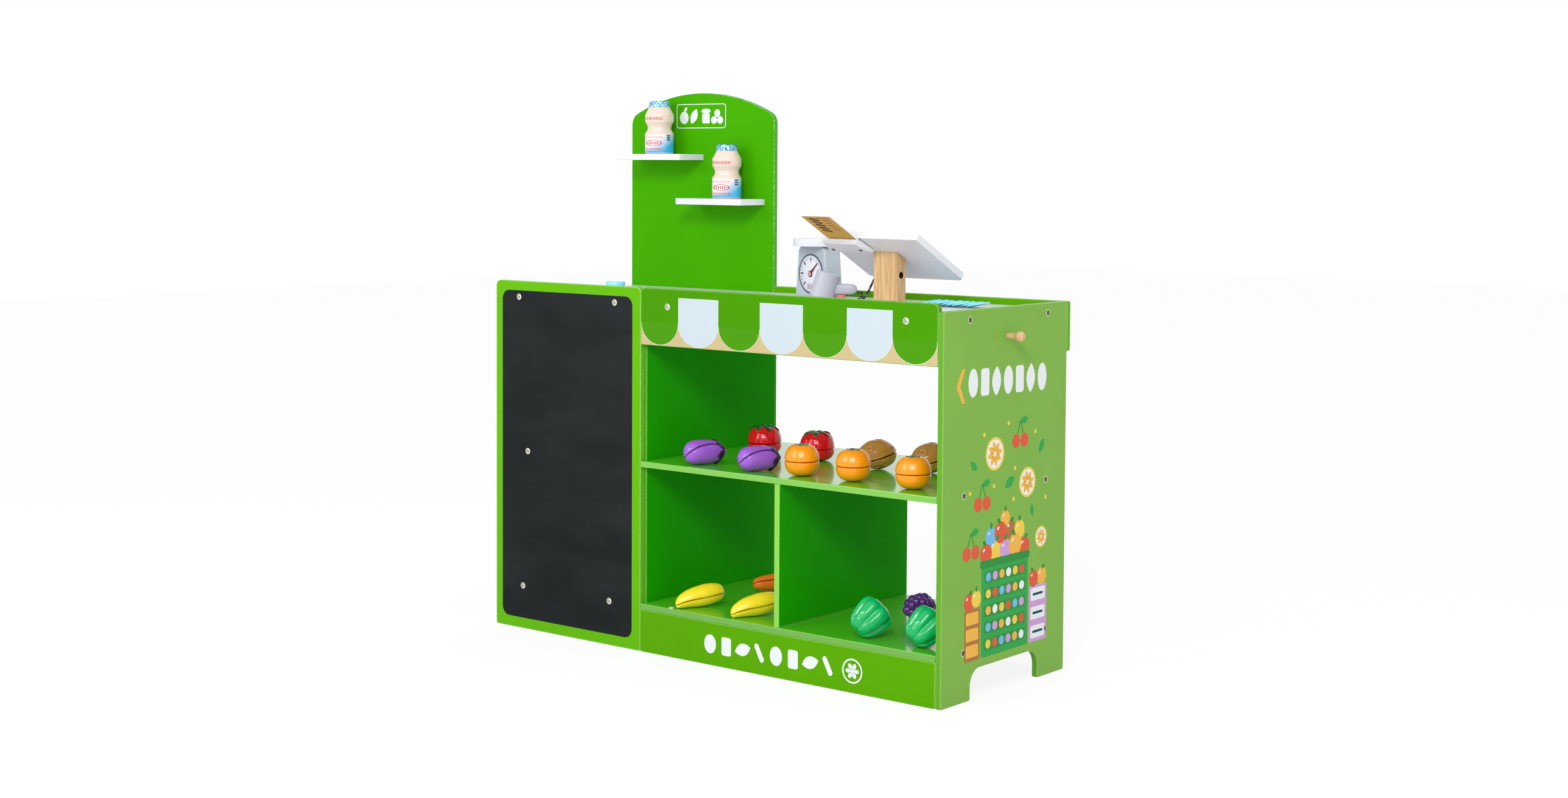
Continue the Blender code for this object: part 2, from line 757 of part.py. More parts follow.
# Eight leaning play coins; each one lies on the next to its right
coin_edge = 0.0004
for k in range(COIN_COUNT):
    coin = slab(f"play_coin_{k + 1}", [circle(0.0, 0.0, COIN_R, COIN_CORNERS)], COIN_T, edge=coin_edge)
    lift = COIN_R * math.sin(COIN_LEAN) + COIN_T / 2 * math.cos(COIN_LEAN)
    coin_y = SHOP_DEPTH - COIN_FROM_BACK + COIN_SIDE_STEPS[k]
    coin.location = shop(COIN_X + COIN_STEP * k, coin_y, counter_rest + lift)
    coin.rotation_euler = (0.0, -COIN_LEAN, 0.0)
    paint(coin, (0.25, 0.72, 0.90), 0.35)

tin_edge = 0.0015
play_tin = lathe(
    "play_tin",
    [
        (0.0, TIN_H),
        (TIN_R - tin_edge, TIN_H),
        (TIN_R, TIN_H - tin_edge),
        (TIN_R, tin_edge),
        (TIN_R - tin_edge, 0.0),
        (0.0, 0.0),
    ],
    24,
)
play_tin.location = shop(TIN_X, SHOP_DEPTH - TIN_FROM_BACK, counter_rest)
paint(play_tin, (0.35, 0.72, 0.90), 0.35)

# Drink bottles on the wall shelves
BOTTLE_PROFILE = (
    (0.0, 1.0),
    (0.60, 1.0),
    (0.71, 0.985),
    (0.73, 0.91),
    (0.70, 0.895),
    (0.985, 0.745),
    (0.995, 0.61),
    (0.97, 0.60),
    (0.86, 0.54),
    (0.82, 0.49),
    (0.86, 0.44),
    (0.985, 0.395),
    (1.0, 0.38),
    (0.99, 0.02),
    (0.94, 0.0),
    (0.0, 0.0),
)
bottle_y = SHOP_DEPTH - WALL_SHELF_D / 2


def bottle(name, x, shelf_top):
    obj = lathe(name, [(r * BOTTLE_R, z * BOTTLE_H) for r, z in BOTTLE_PROFILE], 20)
    obj.location = shop(x, bottle_y, shelf_top + GAP)
    return paint(obj, (0.85, 0.75, 0.62), 0.3)


bottle("drink_bottle_upper", UPPER_SHELF_X, upper_shelf_top)
bottle("drink_bottle_lower", LOWER_SHELF_X + LOWER_BOTTLE_SHIFT, lower_shelf_top)

# Split play food: upper and lower halves with the split just under the middle
mid_rest = MID_SHELF_TOP + GAP
low_rest = BOTTOM_SHELF_TOP + GAP


def round_half(name, radius, low, high, bulge, dimple, rings=6):
    """One half of a flattened round fruit between heights low and high, split face eased."""
    ease = 0.0012
    if low < 0.0:
        sign, flat, tip = -1.0, high, low
    else:
        sign, flat, tip = 1.0, low, high
    reach = abs(tip - flat)
    outer = []
    for k in range(rings + 1):
        angle = math.pi / 2 * k / rings
        outer.append(
            (
                radius * math.cos(angle) ** bulge,
                flat + sign * (ease + (reach - ease) * math.sin(angle)),
            )
        )
    outer[-1] = (0.0, tip - sign * dimple)
    rim = [(0.0, flat), (radius - ease, flat)]
    profile = rim + outer
    if sign > 0:
        profile.reverse()
    return lathe(name, profile)


def split_fruit(name, spot, radius, height, split, bulge, dimple, colour):
    low_part = height * split
    x, y = spot
    lower = round_half(f"{name}_lower", radius, -low_part, -GAP / 2, bulge, 0.0)
    lower.location = shop(x, y, mid_rest + low_part)
    paint(lower, colour, 0.3)
    upper = round_half(f"{name}_upper", radius, GAP / 2, height - low_part, bulge, dimple)
    upper.location = shop(x, y, mid_rest + low_part)
    paint(upper, colour, 0.3)


for k, spot in enumerate(ORANGE_SPOTS):
    split_fruit(f"orange_{k + 1}", spot, ORANGE_R, ORANGE_H, 0.47, 0.80, 0.0015, (0.95, 0.33, 0.01))
for k, spot in enumerate(TOMATO_SPOTS):
    split_fruit(f"tomato_{k + 1}", spot, TOMATO_R, TOMATO_H, 0.44, 0.72, 0.0030, (0.62, 0.01, 0.02))


def lying(obj, spot, rest, yaw, tilt, low):
    """Lays a turned piece on its side: its own z axis along yaw, tip raised by tilt."""
    x, y = spot
    obj.location = shop(x, y, rest + low)
    obj.rotation_euler = (0.0, math.pi / 2 - tilt, yaw)
    return obj


def blob(name, size, segments=16, rings=10):
    mesh = bpy.data.meshes.new(name)
    solid = bmesh.new()
    bmesh.ops.create_uvsphere(solid, u_segments=segments, v_segments=rings, radius=0.5)
    bmesh.ops.scale(solid, vec=size, verts=solid.verts)
    solid.to_mesh(mesh)
    solid.free()
    return place(name, mesh)


for k, (x, y) in enumerate(POTATO_SPOTS):
    potato = blob(f"potato_{k + 1}", (POTATO_L, POTATO_W, POTATO_H))
    potato.location = shop(x, y, mid_rest + POTATO_H / 2)
    potato.rotation_euler = (0.0, 0.0, LYING_YAW)
    paint(potato, (0.36, 0.22, 0.06), 0.35)

EGGPLANT_PROFILE = (
    (0.0, 0.50),
    (0.22, 0.495),
    (0.26, 0.43),
    (0.62, 0.40),
    (0.68, 0.30),
    (0.76, 0.16),
    (0.90, 0.0),
    (1.0, -0.16),
    (0.98, -0.28),
    (0.84, -0.39),
    (0.55, -0.47),
    (0.25, -0.495),
    (0.0, -0.50),
)
for k, spot in enumerate(EGGPLANT_SPOTS):
    eggplant = lathe(f"eggplant_{k + 1}", [(r * EGGPLANT_R, z * EGGPLANT_L) for r, z in EGGPLANT_PROFILE])
    paint(lying(eggplant, spot, mid_rest, LYING_YAW, 0.0, EGGPLANT_R), (0.22, 0.07, 0.42), 0.2)

CARROT_PROFILE = (
    (0.0, 0.50),
    (0.45, 0.49),
    (0.85, 0.45),
    (1.0, 0.36),
    (0.96, 0.15),
    (0.86, -0.10),
    (0.72, -0.32),
    (0.52, -0.44),
    (0.28, -0.49),
    (0.0, -0.50),
)
carrot = lathe("carrot", [(r * CARROT_R, z * CARROT_L) for r, z in CARROT_PROFILE])
paint(lying(carrot, CARROT_SPOT, low_rest, LYING_YAW, 0.0, CARROT_R), (0.90, 0.15, 0.01), 0.25)

PEPPER_PROFILE = (
    (0.0, 0.46),
    (0.60, 0.45),
    (0.88, 0.38),
    (1.0, 0.22),
    (0.98, 0.02),
    (0.88, -0.18),
    (0.76, -0.34),
    (0.55, -0.45),
    (0.28, -0.50),
    (0.0, -0.46),
)
pepper_tilt = math.radians(38)
for k, spot in enumerate(PEPPER_SPOTS):
    outline = [(r * PEPPER_R, z * PEPPER_L) for r, z in PEPPER_PROFILE]
    pepper = lathe(f"pepper_{k + 1}", outline)
    reach = max(r * math.cos(pepper_tilt) - z * math.sin(pepper_tilt) for r, z in outline)
    paint(lying(pepper, spot, low_rest, LYING_YAW, pepper_tilt, reach), (0.0, 0.33, 0.10), 0.2)


# Thickness along the banana as a share of its largest, from the near tip to the far end
BANANA_GIRTH = (0.36, 0.60, 0.74, 0.84, 0.91, 0.96, 1.0, 1.0, 0.96, 0.88, 0.74, 0.48)


def banana(name, spot):
    """A banana resting on its near half: thin low tip, thickest past the middle, far end raised."""
    curve = bpy.data.curves.new(name, "CURVE")
    curve.dimensions = "3D"
    curve.bevel_depth = BANANA_R
    curve.bevel_resolution = 3
    curve.use_fill_caps = True
    line = curve.splines.new("POLY")
    line.points.add(len(BANANA_GIRTH) - 1)
    for k, (point, girth) in enumerate(zip(line.points, BANANA_GIRTH)):
        along = k / (len(BANANA_GIRTH) - 1)
        raised = max(0.0, along - 0.45) / 0.55
        point.co = (BANANA_L * (along - 0.5), 0.0, BANANA_R * girth + BANANA_RISE * raised**2, 1.0)
        point.radius = girth
    obj = as_mesh(place(name, curve))
    x, y = spot
    obj.location = shop(x, y, low_rest - min(vertex.co.z for vertex in obj.data.vertices))
    obj.rotation_euler = (0.0, 0.0, LYING_YAW)
    return paint(obj, (0.80, 0.55, 0.02), 0.3)


for k, spot in enumerate(BANANA_SPOTS):
    banana(f"banana_{k + 1}", spot)

# Bunch of grapes: berries joined round a solid core, widest near the stalk end
# Each ring of berries: place along the bunch, ring radius (both in berry radii), count and turn
BERRY_RINGS = (
    (-2.35, 0.35, 1, 0.0),
    (-1.35, 1.10, 5, 0.3),
    (0.0, 1.75, 7, 0.0),
    (1.35, 1.60, 6, 0.4),
    (2.3, 0.6, 2, 0.9),
)
BERRY_TURN = 0.37
CORE_LENGTH = 4.6
CORE_WIDTH = 3.4
grape_lift = GRAPE_R * (max(ring for _, ring, _, _ in BERRY_RINGS) + 1)
grape_frame = (
    Matrix.Translation(shop(*GRAPE_SPOT, low_rest + grape_lift))
    @ Matrix.Rotation(LYING_YAW, 4, "Z")
    @ Matrix.Rotation(math.pi / 2, 4, "Y")
)
grapes = blob("grapes", (GRAPE_R * CORE_WIDTH, GRAPE_R * CORE_WIDTH, GRAPE_R * CORE_LENGTH), 12, 8)
grapes.matrix_world = grape_frame
berry_count = 0
for along, ring, count, turn in BERRY_RINGS:
    for k in range(count):
        angle = turn + 2 * math.pi * k / count
        mesh = bpy.data.meshes.new("berry")
        solid = bmesh.new()
        bmesh.ops.create_icosphere(solid, subdivisions=2, radius=GRAPE_R)
        solid.to_mesh(mesh)
        solid.free()
        berry_count += 1
        berry = place(f"berry_{berry_count}", mesh, tools)
        spot = Vector((ring * math.cos(angle), ring * math.sin(angle), along)) * GRAPE_R
        berry_turn = Matrix.Rotation(BERRY_TURN * berry_count, 4, spot)
        berry.matrix_world = grape_frame @ Matrix.Translation(spot) @ berry_turn
        cut(grapes, cutter(berry), "UNION")
paint(grapes, (0.10, 0.02, 0.14), 0.2)
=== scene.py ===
import json
import math

import bpy
import numpy as np
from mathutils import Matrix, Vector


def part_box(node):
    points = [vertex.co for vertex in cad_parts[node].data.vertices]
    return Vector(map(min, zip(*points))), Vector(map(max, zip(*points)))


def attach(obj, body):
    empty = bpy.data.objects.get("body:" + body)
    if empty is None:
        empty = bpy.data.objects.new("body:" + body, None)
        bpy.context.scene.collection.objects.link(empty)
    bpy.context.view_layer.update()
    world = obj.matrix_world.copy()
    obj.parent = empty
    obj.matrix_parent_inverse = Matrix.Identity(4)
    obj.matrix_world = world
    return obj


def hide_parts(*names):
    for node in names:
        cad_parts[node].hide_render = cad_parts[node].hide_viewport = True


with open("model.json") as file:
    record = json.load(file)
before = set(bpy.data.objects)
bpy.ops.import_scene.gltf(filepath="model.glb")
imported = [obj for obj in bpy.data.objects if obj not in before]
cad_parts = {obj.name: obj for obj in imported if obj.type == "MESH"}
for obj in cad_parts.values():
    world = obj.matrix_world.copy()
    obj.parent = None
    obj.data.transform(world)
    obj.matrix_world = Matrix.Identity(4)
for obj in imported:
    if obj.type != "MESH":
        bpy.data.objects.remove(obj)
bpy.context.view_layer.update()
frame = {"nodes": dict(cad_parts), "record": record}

# Camera: a long lens a little above the counter, to the right of the shop, as the photograph was taken.
camera = bpy.data.objects.new("photo_camera", bpy.data.cameras.new("photo_camera"))
camera.location = (2.2573459, -2.8007543, 0.8141083)
camera.rotation_euler = (1.5249878, -0.0058076, 0.6758776)
camera.data.lens = 49.1154
camera.data.sensor_width = 36
camera.data.shift_y = -0.08649
camera.data.clip_end = 20
bpy.context.scene.collection.objects.link(camera)
bpy.context.scene.camera = camera

# Scanner cord: three-strand twisted rope, black and grey nylon, 3.8 mm thick. It is knotted inside the
# scanner's handle, lies on the counter and goes up into the hole in the till's wooden post.
SEAM = np.array([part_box("blackboard_board")[1][0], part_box("blackboard_board")[0][1], 0.0])
BODY_OF = {node: body for body, nodes in frame["record"]["behaviour"]["bodies"].items() for node in nodes}
COUNTER = 587.3
CORD_R = 1.9
CORD_LOW = COUNTER + CORD_R
CORD_GAP = 0.8
STRANDS, STRAND_TURN = 3, 12.0
CREASE = math.radians(48)
SCANNER_YAW = 36
SCANNER_SPOT = (215.7, 212.0, COUNTER)
HANDLE_END = 60.0
HANDLE_KNOT = (HANDLE_END + 0.3, 0.0, 15.0)
POST_HOLE = np.array([332.2, 212.6, COUNTER + 49.0])


def shop(points):
    """Shop millimetres, from the seam between the units, the front faces and the floor, as frame metres."""
    return np.asarray(points, float) * 0.001 + SEAM


def turn(axis, degrees):
    """Rotation about one axis as a 3 x 3 array: cosines on the diagonal and sines beside it."""
    c, s = math.cos(math.radians(degrees)), math.sin(math.radians(degrees))
    i, j = {"x": (1, 2), "y": (2, 0), "z": (0, 1)}[axis]
    made = np.eye(3)
    made[i, i] = made[j, j] = c
    made[j, i], made[i, j] = s, -s
    return made


def circle(count):
    """Angles evenly spaced once round."""
    return np.linspace(0, 2 * np.pi, count, endpoint=False)


def flow(knots, gap):
    """Points an even gap apart on the curve through every knot: between b and c, with neighbours a and d,
    b + (c - a)t/2 + (2a - 5b + 4c - d)t^2/2 + (3b - a - 3c + d)t^3/2, the end knots mirrored."""
    p = np.asarray(knots, float)
    p = np.vstack([2 * p[0] - p[1], p, 2 * p[-1] - p[-2]])
    a, b, c, d = (p[i : len(p) - 3 + i, None] for i in range(4))
    t = np.linspace(0, 1, 24, endpoint=False)[None, :, None]
    line = b + (c - a) * t / 2 + (2 * a - 5 * b + 4 * c - d) * t**2 / 2 + (3 * b - a - 3 * c + d) * t**3 / 2
    line = np.vstack([line.reshape(-1, p.shape[1]), p[-2]])
    run = np.concatenate([[0], np.cumsum(np.linalg.norm(np.diff(line, axis=0), axis=1))])
    stations = np.linspace(0, run[-1], int(round(run[-1] / gap)) + 1)
    return np.stack([np.interp(stations, run, line[:, k]) for k in range(p.shape[1])], axis=1)


def skin(rings, low_tip=None, high_tip=None):
    """Points and faces of a closed skin over rings (ring, point, xyz), each counter-clockwise seen from the
    last one: quads between neighbours, and at each end a fan to a tip or one flat face."""
    count, around = rings.shape[:2]
    r, c = np.meshgrid(np.arange(count - 1) * around, np.arange(around), indexing="ij")
    n = (c + 1) % around
    faces = np.stack([r + c, r + n, r + around + n, r + around + c], axis=-1).reshape(-1, 4).tolist()
    points = rings.reshape(-1, 3)
    first, last = np.arange(around), np.arange(around) + (count - 1) * around
    for ring, tip in ((first[::-1], low_tip), (last, high_tip)):
        if tip is None:
            faces.append(ring.tolist())
        else:
            faces += np.stack([ring, np.roll(ring, -1), np.full(around, len(points))], axis=1).tolist()
            points = np.vstack([points, tip])
    return points, faces


def joined(solids):
    """Several (points, faces) solids as one: each one's faces count on from the points before it."""
    points, faces, start = [], [], 0
    for some_points, some_faces in solids:
        points.append(some_points)
        faces += [[start + k for k in face] for face in some_faces]
        start += len(some_points)
    return np.vstack(points), faces


def piece(name, solid, material, stands_for=None, rides="shop", **marks):
    """One object at the origin from a solid in shop millimetres, smooth but for its sharp corners. It rides
    with the CAD node that it stands for, or with a named body. Each mark is one number per point."""
    points, faces = solid
    mesh = bpy.data.meshes.new(name)
    mesh.from_pydata(shop(points), [], faces)
    mesh.shade_smooth()
    mesh.set_sharp_from_angle(angle=CREASE)
    for mark, values in marks.items():
        mesh.attributes.new(mark, "FLOAT", "POINT").data.foreach_set("value", np.asarray(values, np.float32))
    mesh.materials.append(material)
    made = bpy.data.objects.new(name, mesh)
    bpy.context.scene.collection.objects.link(made)
    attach(made, BODY_OF[stands_for] if stands_for else rides)
    if stands_for:
        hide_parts(stands_for)
    return made


def srgb(code):
    """A hex colour made linear: c/12.92 up to 0.04045, and ((c + 0.055)/1.055)^2.4 above."""
    c = np.array([int(code[k : k + 2], 16) for k in (0, 2, 4)]) / 255
    return (*np.where(c <= 0.04045, c / 12.92, ((c + 0.055) / 1.055) ** 2.4), 1.0)


def add(tree, kind, inputs=None, out=0, to=None, **settings):
    """One shader node with its settings, its inputs linked or set, and the output that is wanted of it,
    which may be linked on to a socket."""
    node = tree.nodes.new("ShaderNode" + kind)
    for key, value in settings.items():
        setattr(node, key, value)
    for key, value in (inputs or {}).items():
        if isinstance(value, bpy.types.NodeSocket):
            tree.links.new(value, node.inputs[key])
        else:
            node.inputs[key].default_value = value
    if to is not None:
        tree.links.new(node.outputs[out], to)
    return node.outputs[out]


def finish(name, colour, cloud=None, grain=None, **sockets):
    """A new material with these values on its shader's own sockets. With cloud (waves in a metre, detail,
    share) its colour drifts darker and lighter, and grain (waves in a metre, detail, millimetres) is its
    bump. Also its tree, its shader, Object coordinates and its colour, for more to be built on them."""
    material = bpy.data.materials.new(name)
    material.use_nodes = True
    tree, shader = material.node_tree, material.node_tree.nodes["Principled BSDF"]
    for key, value in {"Base_Color": srgb(colour), **sockets}.items():
        shader.inputs[key.replace("_", " ")].default_value = value
    where, tint = add(tree, "TexCoord", out="Object"), srgb(colour)
    if cloud:
        drift = add(tree, "TexNoise", {"Vector": where, "Scale": cloud[0], "Detail": cloud[1]})
        shades = {6 + k: np.array(srgb(colour)) * (1 + cloud[2] * (2 * k - 1)) for k in (0, 1)}
        tint = add(tree, "Mix", {0: drift, **shades}, 2, shader.inputs["Base Color"], data_type="RGBA")
    if grain:
        height = add(tree, "TexNoise", {"Vector": where, "Scale": grain[0], "Detail": grain[1]})
        add(tree, "Bump", {"Height": height, "Distance": grain[2] * 0.001}, to=shader.inputs["Normal"])
    return material, tree, shader, where, tint


def twisted_rope():
    """Nylon cord: matt, near-black strands with one dark grey one, and fine fibres along each."""
    material, tree, shader, where, _ = finish(
        "twisted_nylon_cord", "1B1B1D", None, (2500.0, 2.0, 0.15), Roughness=0.7, Specular_IOR_Level=0.3
    )
    strand = add(tree, "Attribute", out="Fac", attribute_name="strand")
    fibres = add(tree, "TexNoise", {"Vector": where, "Scale": 2500.0})
    shade = add(tree, "Math", {0: strand, 1: fibres}, operation="MULTIPLY")
    shades = {0: shade, 6: srgb("151517"), 7: srgb("8A8A8C")}
    add(tree, "Mix", shades, 2, shader.inputs["Base Color"], data_type="RGBA")
    return material


handle_turn = turn("z", SCANNER_YAW)
cord_exit = handle_turn @ HANDLE_KNOT + SCANNER_SPOT
leaving = ((0.0, 0), (6.0, 0), (10.0, (3.0, -8.0, -6.0)))
lying = ((12.0, -20.0, 1.0), (9.0, -34.0, 0.0), (5.0, -50.0, 0.0), (12.0, -66.0, 0.0))
rising = ((-40.0, -30.0, 0.0), (-27.0, -13.0, 2.0), (-19.0, -3.0, 16.0))
entering = ((-10.0, 0.0, -12.0), (-3.0, 0.0, -1.0), (4.0, 0.0, 0.0), (12.0, 0.0, 0.0))
cord_knots = [cord_exit + handle_turn @ (run, 0.0, 0.0) + aside for run, aside in leaving]
cord_knots += [(*(cord_exit[:2] + step[:2]), CORD_LOW + step[2]) for step in lying]
cord_knots += [(*(POST_HOLE[:2] + step[:2]), CORD_LOW + step[2]) for step in rising]
cord_knots += [POST_HOLE + step for step in entering]
cord_line = flow(cord_knots, CORD_GAP)
cord_line[:, 2] = np.maximum(cord_line[:, 2], CORD_LOW)


def rope(line, radius):
    """A twisted rope: about each point of the line a ring of radius R(0.84 + 0.16|cos(n(a - b)/2)|), where
    n strands make the lobes and b turns once in each strand turn along the line."""
    along = np.gradient(line, axis=0)
    along /= np.linalg.norm(along, axis=1, keepdims=True)
    side = np.cross((0.0, 0.0, 1.0), along)
    side /= np.linalg.norm(side, axis=1, keepdims=True)
    up = np.cross(along, side)
    run = np.concatenate([[0], np.cumsum(np.linalg.norm(np.diff(line, axis=0), axis=1))])
    angle = circle(24)[None, :]
    lobe = angle - 2 * np.pi * run[:, None] / STRAND_TURN
    reach = radius * (0.84 + 0.16 * np.abs(np.cos(STRANDS * lobe / 2)))
    rings = line[:, None] + reach[..., None] * (
        np.cos(angle)[..., None] * side[:, None] + np.sin(angle)[..., None] * up[:, None]
    )
    strand = np.clip(1.6 * np.cos(lobe), 0, 1)
    return skin(rings), strand.reshape(-1), run[-1]


rope_solid, rope_strand, rope_length = rope(cord_line, CORD_R)
cord = piece("scanner_rope", rope_solid, twisted_rope(), "scanner_cord", strand=rope_strand)
shop(cord_exit)
shop(cord_line)

# Studio: a lamp on the right of the front and a weaker one on its left, each lighting through a diffuser
# that shows in the glosses as a larger soft square. The surround and the floor are white, the floor with
# the object's shadow.
SURROUND = 0.80
KEY = ((1.9, -3.0, 2.4), 61.0, 31.0)
FILL = ((-1.1, -3.0, 1.9), 66.0, -19.0)
LAMPS = (
    ("key_lamp", KEY, 0.9, 66.0, True),
    ("fill_lamp", FILL, 0.9, 16.0, True),
    ("key_softbox", KEY, 2.0, 150.0, False),
    ("fill_softbox", FILL, 1.5, 60.0, False),
)
FLOOR = [(-9, -6, -0.0004), (9, -6, -0.0004), (9, 12, -0.0004), (-9, 12, -0.0004)]
FLOOR_SHARE, FLOOR_GLOW = 0.85, 1.02

world = bpy.data.worlds.new("white_studio")
bpy.context.scene.world = world
world.use_nodes = True
bpy.context.scene.view_settings.view_transform = "Standard"


def straight_ray(tree):
    """1 where the surface is seen by the camera, in a gloss or through glass, else 0."""
    straight = 0.0
    for kind in ("Camera", "Glossy", "Transmission"):
        ray = add(tree, "LightPath", out=f"Is {kind} Ray")
        straight = add(tree, "Math", {0: straight, 1: ray}, operation="MAXIMUM")
    return straight


surround = world.node_tree.nodes["Background"]
surround.inputs["Color"].default_value = (1.0, 1.0, 1.0, 1.0)
seen = straight_ray(world.node_tree)
add(world.node_tree, "MapRange", {0: seen, 3: SURROUND, 4: 1.0}, to=surround.inputs["Strength"])

for name, (spot, tilt, yaw), size, watts, lights in LAMPS:
    lamp = bpy.data.objects.new(name, bpy.data.lights.new(name, "AREA"))
    lamp.data.shape = "SQUARE"
    lamp.data.size = size
    lamp.data.energy = watts
    lamp.visible_diffuse, lamp.visible_glossy = lights, not lights
    lamp.location = spot
    lamp.rotation_euler = (math.radians(tilt), 0.0, math.radians(yaw))
    bpy.context.scene.collection.objects.link(lamp)

floor_mesh = bpy.data.meshes.new("studio_floor")
floor_mesh.from_pydata(FLOOR, [], [(0, 1, 2, 3)])
floor = bpy.data.objects.new("studio_floor", floor_mesh)
bpy.context.scene.collection.objects.link(floor)
made = finish("white_floor_paint", "F7F7F7", Roughness=1.0, Specular_IOR_Level=0.0)
floor_paint, tree, shader = made[:3]
glow = add(tree, "Emission", {"Color": (1.0, 1.0, 1.0, 1.0), "Strength": FLOOR_GLOW})
share = add(tree, "MapRange", {0: straight_ray(tree), 3: 0.0, 4: FLOOR_SHARE})
surface = tree.nodes["Material Output"].inputs["Surface"]
add(tree, "MixShader", {0: share, 1: shader.outputs[0], 2: glow}, to=surface)
floor_mesh.materials.append(floor_paint)

# Cabinet boards: 10 mm plywood, sawn, sanded and sprayed with satin lacquer, screwed through their faces.
# Where an edge is eased, pale specks are painted on it: partly rubbed-through lacquer, partly a painted
# highlight where the rounded edge catches the light.
FRONT = turn("x", 90)
SIDE = np.array([[0.0, 0.0, 1.0], [1.0, 0.0, 0.0], [0.0, 1.0, 0.0]])
LEVEL = np.eye(3)
EASE = 0.9
BAND = 1.3
RIM_HIGHLIGHT_AND_WEAR = 0.22
FOOT_R = 3.0
LEG_W, LEG_CUT, LEG_CUT_R = 79.0, 47.0, 26.0
ARCH_R, SHOULDER_R = 370.0, 22.0
NOTCH = (3.8, 10.0)


def lacquer(name, colour, edge, rim=None, roughness=0.3, dimples=0.03, gloss=0.2, coat=0, wear=(0.25, 0.7)):
    """Sprayed lacquer: faint cloudiness, orange peel about 2 mm wide, pale specks where the attribute called
    edge marks an eased corner, partly rubbed-through lacquer and partly painted highlight, and painted light
    or shade in another colour where the one called rim marks the board's rim."""
    material, tree, shader, where, tint = finish(
        name, colour, (7.0, 3.0, 0.07), (420.0, 1.0, dimples),
        Roughness=roughness, Specular_IOR_Level=gloss, Coat_Weight=coat, Coat_Roughness=0.09,
    )
    eased, outer = (add(tree, "Attribute", out="Fac", attribute_name=mark) for mark in ("edge", "rim"))
    speck = add(tree, "TexNoise", {"Vector": where, "Scale": 700.0, "Detail": 4.0})
    # Pale specks on the eased corners: partly rubbed-through lacquer, partly painted highlight.
    speck_share = add(tree, "MapRange", {0: speck, 1: wear[0], 2: wear[1]})
    highlight_and_wear = add(tree, "Math", {0: eased, 1: speck_share}, operation="MULTIPLY")
    # The rim colour is painted light or shade: a board's edge faces lighter or darker than its faces, as the
    # light falls on them.
    tint = add(tree, "Mix", {0: outer, 6: tint, 7: srgb(rim or colour)}, 2, data_type="RGBA")
    add(tree, "Mix", {0: highlight_and_wear, 6: tint, 7: srgb(edge)}, 2, shader.inputs["Base Color"], data_type="RGBA")
    return material


def rounded(corners, steps=7):
    """An outline from (u, v, radius) corners: on each, an arc about the point at radius/sin(half angle)
    along the corner's bisector, between the two points where it touches the sides."""
    c = np.asarray(corners, float)
    here, radius = c[:, :2], c[:, 2:]
    before, after = np.roll(here, 1, axis=0) - here, np.roll(here, -1, axis=0) - here
    before /= np.linalg.norm(before, axis=1, keepdims=True)
    after /= np.linalg.norm(after, axis=1, keepdims=True)
    half = np.arccos(np.sum(before * after, axis=1, keepdims=True)) / 2
    middle = (before + after) / (2 * np.cos(half)) * radius / np.sin(half)
    start, end = before * radius / np.tan(half) - middle, after * radius / np.tan(half) - middle
    t, sweep = np.linspace(0, 1, steps + 1)[None, :, None], (np.pi - 2 * half)[:, None]
    arc = (np.sin((1 - t) * sweep) * start[:, None] + np.sin(t * sweep) * end[:, None]) / np.sin(sweep)
    line = (here[:, None] + middle[:, None] + arc).reshape(-1, 2)
    line = line[np.linalg.norm(line - np.roll(line, 1, axis=0), axis=1) > 0.001]
    area = np.sum(line[:, 0] * np.roll(line[:, 1], -1) - np.roll(line[:, 0], -1) * line[:, 1])
    return line if area > 0 else line[::-1]


def inset(outline, distance):
    """The outline moved inwards: each corner goes distance (n + m)/(1 + n.m) along its sides' normals."""
    side = np.roll(outline, -1, axis=0) - outline
    side /= np.linalg.norm(side, axis=1, keepdims=True)
    normal = np.stack([-side[:, 1], side[:, 0]], axis=1)
    before = np.roll(normal, 1, axis=0)
    return outline + distance * (normal + before) / (1 + np.sum(normal * before, axis=1, keepdims=True))


def plate(outline, rows, place=LEVEL, at=(0, 0, 0)):
    """A closed plate: the outline repeated at each (inset, height) row, turned and moved into place."""
    rings = np.stack([np.column_stack([inset(outline, d), np.full(len(outline), h)]) for d, h in rows])
    points, faces = skin(rings)
    return points @ place.T + at, faces


def board(name, outline, low, high, material, place=LEVEL, at=(0, 0, 0), ease=EASE, stands_for=None):
    """A board with eased edges: quarter rounds between its faces and its rim, a narrow flat band beside
    each so that the shading stays flat, the edge attribute 1 on the rounds, where the pale specks of painted
    highlight go, and the rim attribute 1 on its rim, for painted light or shade there."""
    a = np.radians([0, 22.5, 45, 67.5, 90])
    band = min(BAND, (high - low) / 2 - ease - 0.05)
    low_rows = [(ease + BAND, low), *zip(ease * (1 - np.sin(a)), low + ease * (1 - np.cos(a)))]
    low_rows.append((0.0, low + ease + band))
    rows = low_rows + [(d, low + high - h) for d, h in low_rows[::-1]]
    edge, rim = (
        np.repeat(np.concatenate([mark, mark[::-1]]), len(outline))
        for mark in ([0, 0.2, 0.9, 1, 0.9, 0.4, RIM_HIGHLIGHT_AND_WEAR], [0, 0, 0, 0.2, 0.6, 1, 1])
    )
    return piece(name, plate(outline, rows, place, at), material, stands_for, edge=edge, rim=rim)


def span(node, place):
    """Lowest and highest corner of a CAD node in a place's own directions, in shop millimetres."""
    ends = (np.array([tuple(corner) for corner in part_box(node)]) - SEAM) * 1000 @ place
    return ends.min(axis=0), ends.max(axis=0)
